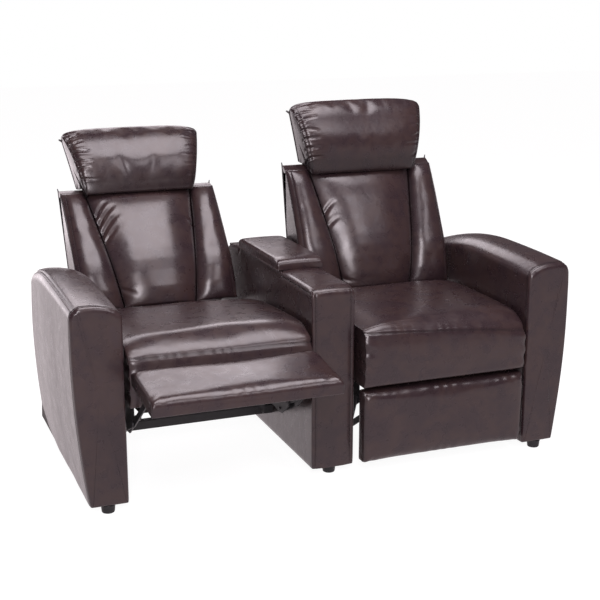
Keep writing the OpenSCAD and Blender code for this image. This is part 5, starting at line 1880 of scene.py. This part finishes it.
@dataclass
class Headrest:
    """A headrest pillow that widens upwards, with flat side gussets and gathered seams."""

    side: Side
    foot_v: float = 569.0
    height: float = 206.0
    thick: float = 94.0
    foot_w: float = 372.0
    top_w: float = 450.0
    crown: float = 12.0
    rear_n: float = -14.0
    lip_in: float = 8.0
    stitch_in: float = 9.0

    OUTLINE = np.array([
        [0, 0.08], [0.1, 0.06], [0.2, 0.045], [0.5, 0.02], [0.7, -0.02], [0.79, -0.1],
        [0.85, -0.14], [0.915, -0.125], [0.98, -0.04], [1.035, 0.09], [1.075, 0.24],
        [1.075, 0.37], [1.035, 0.5], [0.97, 0.62], [0.9, 0.72], [0.81, 0.82], [0.73, 0.9],
        [0.66, 0.955], [0.6, 0.985], [0.54, 1.0], [0.48, 0.99], [0.42, 0.962], [0.38, 0.92],
        [0.34, 0.84], [0.28, 0.71], [0.22, 0.58], [0.16, 0.44], [0.1, 0.31], [0.05, 0.19]])

    def share_up(self, v: Array) -> Array:
        """Share of the pillow's height at a place up the back."""
        return unit((v - self.foot_v) / self.height)

    def half_width(self, share: Array) -> Array:
        """Half the pillow's width at a share of its height."""
        return (self.foot_w + (self.top_w - self.foot_w) * share) / 2

    def rear_line(self, share: Array) -> Array:
        """Place of the rear seam at a share of the height."""
        return self.rear_n + (0.02 + 0.42 * share) * self.thick

    def ring(self, s: float, places: Array) -> Array:
        """Outline at a share across the width."""
        a = abs(s)
        swell = math.sqrt(max(0, 1 - a**4))
        shares = self.OUTLINE
        half = self.half_width(shares[:, 1]) - self.lip_in * unit(-shares[:, 1] / 0.14)
        top = 1 - 0.13 * (1 - swell) * unit(shares[:, 1])
        n = self.rear_n + shares[:, 0] * (self.thick + self.crown * (swell - 1))
        v = self.foot_v + shares[:, 1] * top * self.height
        return curve_at(columns(s * half, n, v), places)

    def shape(self) -> Shape:
        """The pillow's skin."""
        flat = self.OUTLINE * [self.thick, self.height]
        places = even_places(flat, 96)
        rings = np.array([self.ring(float(s), places)
                          for s in spread((0.997, 0.99, 0.978), 0.955, 56)])
        return skin(rings, steps=6, dome=(3.0, 3.0), rim=0.05)

    def folds(self) -> list[Fold]:
        """Gathers that run in from the side seams, over x and the run up the front."""
        rng = np.random.default_rng(11 if self.side is Side.LEFT else 23)
        made = []
        for sign in (-1, 1):
            strength = 1.0 if sign < 0 else 0.55
            for run in np.linspace(24, 236, 8):
                half = self.half_at(run)
                deep = strength * rng.uniform(3.4, 5.6) * (1.1 if 70 < run < 215 else 0.8)
                reach = rng.uniform(34, 70) * (0.6 + 0.5 * strength)
                rise = rng.uniform(-6, 22) * (1 if run > 120 else -0.6)
                made.append(Fold((sign * half, run), (sign * (half - reach), run + rise),
                                 rng.uniform(5.0, 8.0), deep, rng.uniform(-3, 3)))
        return made

    def half_at(self, run: float) -> float:
        """Half the width at a run up the front."""
        return self.half_width(unit((run - 20) / 200))

    def run_up(self, n: Array, v: Array) -> Array:
        """Length of leather from the lower edge up the front to a point."""
        return (v - self.foot_v) + 0.55 * np.maximum(0, (self.rear_n + self.thick) - n)

    def relief(self, p: Array) -> Array:
        """Gathers at the side seams and a gutter at the stitched seam."""
        x, n, v = p.T
        share = self.share_up(v)
        gap = self.half_width(share) - np.abs(x)
        front = unit((n - self.rear_line(share) - 4) / 8)
        inside = unit((gap + 2) / 3)
        flat = columns(x, self.run_up(n, v))
        seam = seam_gutter(gap - self.stitch_in, 2.4, 1.2)
        wave = 0.9 * np.sin(x / 53 + 0.8) * np.sin(v / 40)
        return front * inside * (fold_height(flat, self.folds()) + seam + wave)

    def seam_shade(self, p: Array) -> Array:
        """Darkening at the side seams and their stitching, and painted shade along the pillow's lower edge."""
        x, _, v = p.T
        gap = self.half_width(self.share_up(v)) - np.abs(x)
        stitched = bell(gap - self.stitch_in, 2.6)
        # Painted shade: the pillow darkens towards its lower edge and all below it, where it hangs over the back.
        low = bell(v - self.foot_v, 26) + (v < self.foot_v)
        return 0.6 * stitched + 0.65 * bell(gap - 1, 3) + 0.5 * np.minimum(low, 1)

    def pinned(self, p: Array) -> Array:
        """The pillow is sewn at its sides and held behind and below."""
        x, n, v = p.T
        share = self.share_up(v)
        gap = self.half_width(share) - np.abs(x)
        rear = unit(1 - (n - self.rear_line(share)) / 10)
        return unit(np.maximum.reduce([1 - (gap - 3) / 8, rear, (0.03 - share) * 60]))

    def edge(self, rear: bool) -> Array:
        """Path along the right side's rear or front edge, by the outline's points."""
        picks = [0, *range(28, 21, -1)] if rear else list(range(4, 22))
        return self.ring(1.0, np.arange(len(self.OUTLINE), dtype=float))[picks]

    def piping(self) -> Shape:
        """Piping down the rear edges, with an ear at each top corner."""
        path = self.edge(rear=True)
        ear = path[-1] + [[2, -1, 4], [6, -2.5, 8], [10, -4, 10]]
        path = smooth_line([*path, *ear], 60)
        radius = np.full(60, 2.2)
        radius[-6:] = [2.4, 2.9, 3.2, 3.2, 2.7, 1.4]
        front = smooth_line(self.edge(rear=False) + [-0.6, 0.2, 0], 90)
        welt = cord(front, np.full(90, 1.4), 8)
        return on_both_sides(joined([cord(path, radius), welt]))

    def build(self, shop: Workshop) -> None:
        """Makes the headrest's pieces."""
        place, label = back_place(self.side), self.side.label
        body = f"{label}_headrest"
        pillow = shop.soft(f"{label}_headrest_pillow", self.shape(), place, body,
                           (f"{label}_headrest_cushion",), 0.75,
                           Puff(self.pinned, spare=0.014, even=4), self.relief, self.seam_shade)
        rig.squash(pillow, f"{label}_headrest_nod", keep=0.86,
                  **place.squash_line((0.0, 0.0, self.foot_v + self.height)))
        shop.hard(f"{label}_headrest_piping", self.piping(), place, body,
                  shop.finishes.piping, Slot.LEATHER)


@dataclass
class Footrest:
    """A footrest pad over its board, with boxed edges and gathered corners."""

    side: Side
    width: float = 510.0
    height: float = 212.0
    thick: float = 42.0
    low: float = 39.0
    front_y: float = -2.0
    radius: float = 14.0

    def outline(self) -> Array:
        """Side outline as shares of thickness from the front and of height."""
        deep, tall = self.radius / self.thick, 1.6 * self.radius / self.height
        arc = np.radians(np.linspace(0, 90, 7))
        top = columns(deep * (1 - np.sin(arc)), 1 - tall * (1 - np.cos(arc)))
        low = columns(deep * (1 - np.cos(arc)), tall * (1 - np.sin(arc)))
        face = [[0, s] for s in np.linspace(0.82, 0.18, 9)]
        return np.concatenate([
            [[1, 0.012], [1, 0.25], [1, 0.5], [1, 0.75], [1, 0.988], [0.93, 0.999],
             [0.75, 1.0], [0.55, 1.0]], top, face, low, [[0.55, 0], [0.75, 0], [0.93, 0.001]]])

    def shape(self) -> Shape:
        """The pad's skin."""
        outline = self.outline()
        places = even_places(outline * [self.thick, self.height], 84)
        full = 1 - np.abs(2 * outline[:, 1] - 1)**3
        front = outline[:, 0] < 0.4
        rings = []
        for s in spread((0.996, 0.988, 0.975), 0.95, 56):
            sink = 5.0 * (max(0.0, abs(s) - 0.95) / 0.05)**2.2
            flat = outline * [self.thick, self.height] + [self.front_y, self.low]
            flat[:, 0] += front * (sink + 1.5 - 1.5 * full * (1 - s**4))
            flat[:, 1] -= sink * 0.35 * np.sign(outline[:, 1] - 0.5)
            rings.append(curve_at(side_ring(s * self.width / 2, flat), places))
        return skin(np.array(rings), steps=5, dome=(1.5, 1.5), rim=0.03)

    def relief(self, p: Array) -> Array:
        """Puckers under the upper edge seam, and the gathered corners."""
        x, y, z = p.T
        rise = z - self.low
        lip = self.height - 12
        outer = unit(1 - (y - self.front_y - 18) / 8)
        wobble = np.sin(x / 6.3 + 2.1 * np.sin(x / 29)) * (0.6 + 0.4 * np.sin(x / 47 + 2))
        pucker = wobble * (0.9 * bell(rise - lip, 12) + 0.7 * bell(rise - 14, 11))
        ends = bell(self.width / 2 - np.abs(x), 26)
        corner = 1.6 * np.sin((np.abs(x) + rise * 0.8) / 5.5) * ends \
            * (bell(rise - lip, 26) + bell(rise - 14, 26))
        wave = 0.8 * np.sin(x / 59 + 0.5) * np.sin(rise / 41)
        return outer * (pucker + corner + wave)

    def seam_shade(self, p: Array) -> Array:
        """Darkening along the side edges."""
        return 0.5 * bell(self.width / 2 - np.abs(p[:, 0]), 4)

    def pinned(self, p: Array) -> Array:
        """The pad is held behind and at its sides."""
        edge = unit(1 - (self.width / 2 - np.abs(p[:, 0]) - 3) / 8)
        rear = unit((p[:, 1] - self.front_y - 24) / 8)
        return np.maximum(edge, rear)

    def build(self, shop: Workshop) -> None:
        """Makes the footrest's pad."""
        place, label = footrest_place(self.side), self.side.label
        shop.soft(f"{label}_footrest_cover", self.shape(), place, f"{label}_footrest",
                  (f"{label}_footrest_pad",), 0.8, Puff(self.pinned, pressure=2.5, limit=4.0),
                  self.relief, self.seam_shade)


@dataclass
class Feet:
    """Six moulded feet with a rolled lip and a rounded sole."""

    radius: float = 20.0
    rear_y: float = 647.0
    console_rear_y: float = 665.0

    def one(self, x: float, y: float) -> Shape:
        """A foot at a place on the floor."""
        profile = smooth_line([(15.2, 0.4), (16.8, 1.4), (17.6, 4), (18.3, 10), (18.8, 16),
                               (19.4, 18.5), (20, 20.5), (20, 22.6), (19.2, 24)], 26)
        angles = np.linspace(0, 2 * math.pi, 40, endpoint=False)
        rings = np.stack([columns(x + r * np.cos(angles), y + r * np.sin(angles),
                                  np.full(40, z)) for r, z in profile])
        return skin(rings, steps=3, dome=(0.3, 0.0))

    def build(self, shop: Workshop) -> None:
        """Makes all feet as one piece."""
        lo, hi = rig.box("feet")
        x1, y0 = hi[0] / MM - self.radius, lo[1] / MM + self.radius
        spots = [(s * x1, y) for s in (-1, 1) for y in (y0, self.rear_y)]
        spots += [(0.0, 0.0), (0.0, self.console_rear_y)]
        shop.hard("row_feet", joined([self.one(x, y) for x, y in spots]),
                  Place(np.eye(3), np.zeros(3)), "base", shop.finishes.plastic, Slot.PLASTIC,
                  ("feet",))


# Room, light and camera


@dataclass
class Studio:
    """A pale floor, a white surround, soft lamps and the photograph's camera."""

    camera_at: tuple[float, float, float] = (-1.2681, -3.0140, 1.3576)
    turn_right: float = 21.37
    look_down: float = 14.55
    lens: float = 72.9
    floor_half: float = 14.0
    # The camera sees the floor as this share of glow, and the rest as its lit paint.
    glow_share: float = 0.75
    glow: float = 1.25

    def floor(self) -> None:
        """Lays the pale floor, which stays white to the camera but keeps the shadow."""
        mesh = bpy.data.meshes.new("floor")
        r = self.floor_half
        mesh.from_pydata([(-r, -r, 0), (r, -r, 0), (r, r, 0), (-r, r, 0)], [], [(0, 1, 2, 3)])
        piece = bpy.data.objects.new("floor", mesh)
        bpy.context.scene.collection.objects.link(piece)
        made, tree, out = new_material("floor_painted_white")
        path = add_node(tree, "LightPath")
        diffuse = add_node(tree, "BsdfDiffuse", {"Color": linear("#e8e8e8")})
        glow = add_node(tree, "Emission", {"Color": linear("#ffffff"), "Strength": self.glow})
        share = add_node(tree, "Math", {
            0: path.outputs["Is Camera Ray"], 1: self.glow_share}, operation="MULTIPLY")
        bright = add_node(tree, "MixShader", {
            "Fac": share.outputs[0], 1: diffuse.outputs[0], 2: glow.outputs[0]})
        place = add_node(tree, "NewGeometry")
        split = add_node(tree, "SeparateXYZ", {0: place.outputs["Position"]})
        lit = add_node(tree, "MapRange", {
            "Value": split.outputs["Y"], "From Min": -0.6, "From Max": 1.4,
            "To Min": 0.65, "To Max": 1.0})
        dull = add_node(tree, "Emission", {
            "Color": linear("#fff2f6"), "Strength": lit.outputs["Result"]})
        mixed = add_node(tree, "MixShader", {
            "Fac": path.outputs["Is Glossy Ray"], 1: bright.outputs[0], 2: dull.outputs[0]})
        tree.links.new(mixed.outputs[0], out.inputs["Surface"])
        mesh.materials.append(made)
        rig.stage(piece)

    def surround(self) -> None:
        """Sets the world: white to the camera, a soft pale light, and dimmer in gloss."""
        world = bpy.data.worlds.new("studio")
        bpy.context.scene.world = world
        world.use_nodes = True
        tree = world.node_tree
        tree.nodes.clear()
        out = add_node(tree, "OutputWorld")
        path = add_node(tree, "LightPath")
        seen = add_node(tree, "Math", {
            0: path.outputs["Is Camera Ray"], 1: path.outputs["Is Transmission Ray"]},
            operation="MAXIMUM")
        white = add_node(tree, "Background", {
            "Color": linear("#ffffff"), "Strength": 1.0})
        light = add_node(tree, "Background", {
            "Color": linear("#f2e6ec"), "Strength": 0.3})
        dim = add_node(tree, "Background", {
            "Color": linear("#f0e0e8"), "Strength": 0.14})
        lit = add_node(tree, "MixShader", {
            "Fac": path.outputs["Is Glossy Ray"], 1: light.outputs[0], 2: dim.outputs[0]})
        mixed = add_node(tree, "MixShader", {
            "Fac": seen.outputs[0], 1: lit.outputs[0], 2: white.outputs[0]})
        tree.links.new(mixed.outputs[0], out.inputs["Surface"])

    def lamp(self, name: str, at: tuple[float, float, float], aim: tuple[float, float, float],
             size: tuple[float, float], watts: float) -> None:
        """Hangs one soft box.

        Args:
            name: The lamp's name.
            at: Its place in metres.
            aim: The point it faces.
            size: Its width and height in metres.
            watts: Its power.
        """
        data = bpy.data.lights.new(name, "AREA")
        data.shape = "RECTANGLE"
        data.size, data.size_y = size
        data.energy = watts
        data.color = (1.0, 0.91, 0.96)
        lamp = bpy.data.objects.new(name, data)
        bpy.context.scene.collection.objects.link(lamp)
        gap = np.array(aim) - np.array(at)
        yaw = math.atan2(-gap[0], gap[1])
        pitch = math.atan2(gap[2], math.hypot(gap[0], gap[1]))
        lamp.rotation_euler = (math.pi / 2 + pitch, 0, yaw)
        lamp.location = at

    def camera(self) -> None:
        """Sets the camera at the photograph's place."""
        data = bpy.data.cameras.new("camera")
        data.lens = self.lens
        data.sensor_width = 36.0
        data.sensor_fit = "HORIZONTAL"
        data.clip_end = 60.0
        view = bpy.data.objects.new("camera", data)
        bpy.context.scene.collection.objects.link(view)
        view.location = self.camera_at
        view.rotation_euler = (math.radians(90 - self.look_down), 0,
                               math.radians(-self.turn_right))
        bpy.context.scene.camera = view

    def build(self) -> None:
        """Makes the room, the lamps and the camera."""
        bpy.context.scene.view_settings.view_transform = "Standard"
        self.floor()
        self.surround()
        self.lamp("key_tall", (-1.45, -3.7, 2.4), (0, 0.2, 0.5), (0.9, 2.8), 125)
        self.lamp("overhead", (0.1, -0.3, 3.6), (0, 0.2, 0.5), (2.6, 1.8), 100)
        self.lamp("fill_right", (1.2, -2.6, 3.3), (0, 0.2, 0.5), (1.4, 1.2), 26)
        self.lamp("rear_strip", (-0.4, 2.9, 2.2), (0, 0.2, 0.6), (4.2, 1.2), 48)
        self.lamp("rear_left", (-1.9, 2.8, 0.65), (-0.6, 0.2, 0.4), (2.2, 1.2), 14)
        self.camera()


def dress_hard_nodes(finishes: Finishes) -> None:
    """Gives the carried-over timber, steel and plastic nodes their finishes."""
    slots = {entry["node"]: entry["material_slot"] for entry in frame["record"]["subparts"]}
    chosen = {Slot.TIMBER.value: finishes.timber, Slot.STEEL.value: finishes.steel,
              Slot.PLASTIC.value: finishes.plastic, Slot.LEATHER.value: finishes.leather}
    for name, piece in frame["nodes"].items():
        finish = chosen[slots[name]]
        if not piece.material_slots:
            piece.data.materials.append(finish)
        for entry in piece.material_slots:
            entry.material = finish
    log.info("dressed %d carried-over nodes", len(frame["nodes"]))


def main() -> None:
    """Builds the row, its room and its camera."""
    logging.basicConfig(level=logging.INFO, format="%(name)s: %(message)s")
    cad_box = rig.bounds()
    finishes = Finishes.make()
    shop = Workshop(finishes)
    dress_hard_nodes(finishes)
    for side in Side:
        Arm(side).build(shop)
    Console().build(shop)
    for side in Side:
        Seat(side).build(shop)
        Back(side).build(shop)
        Headrest(side).build(shop)
        Footrest(side).build(shop)
    Feet().build(shop)
    Studio().build()
    visual_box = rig.bounds()
    sizes = {"cad": [list(corner) for corner in cad_box],
             "visual": [list(corner) for corner in visual_box]}
    with open("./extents.json", "w") as out:
        json.dump(sizes, out)


if __name__ == "__main__":
    main()
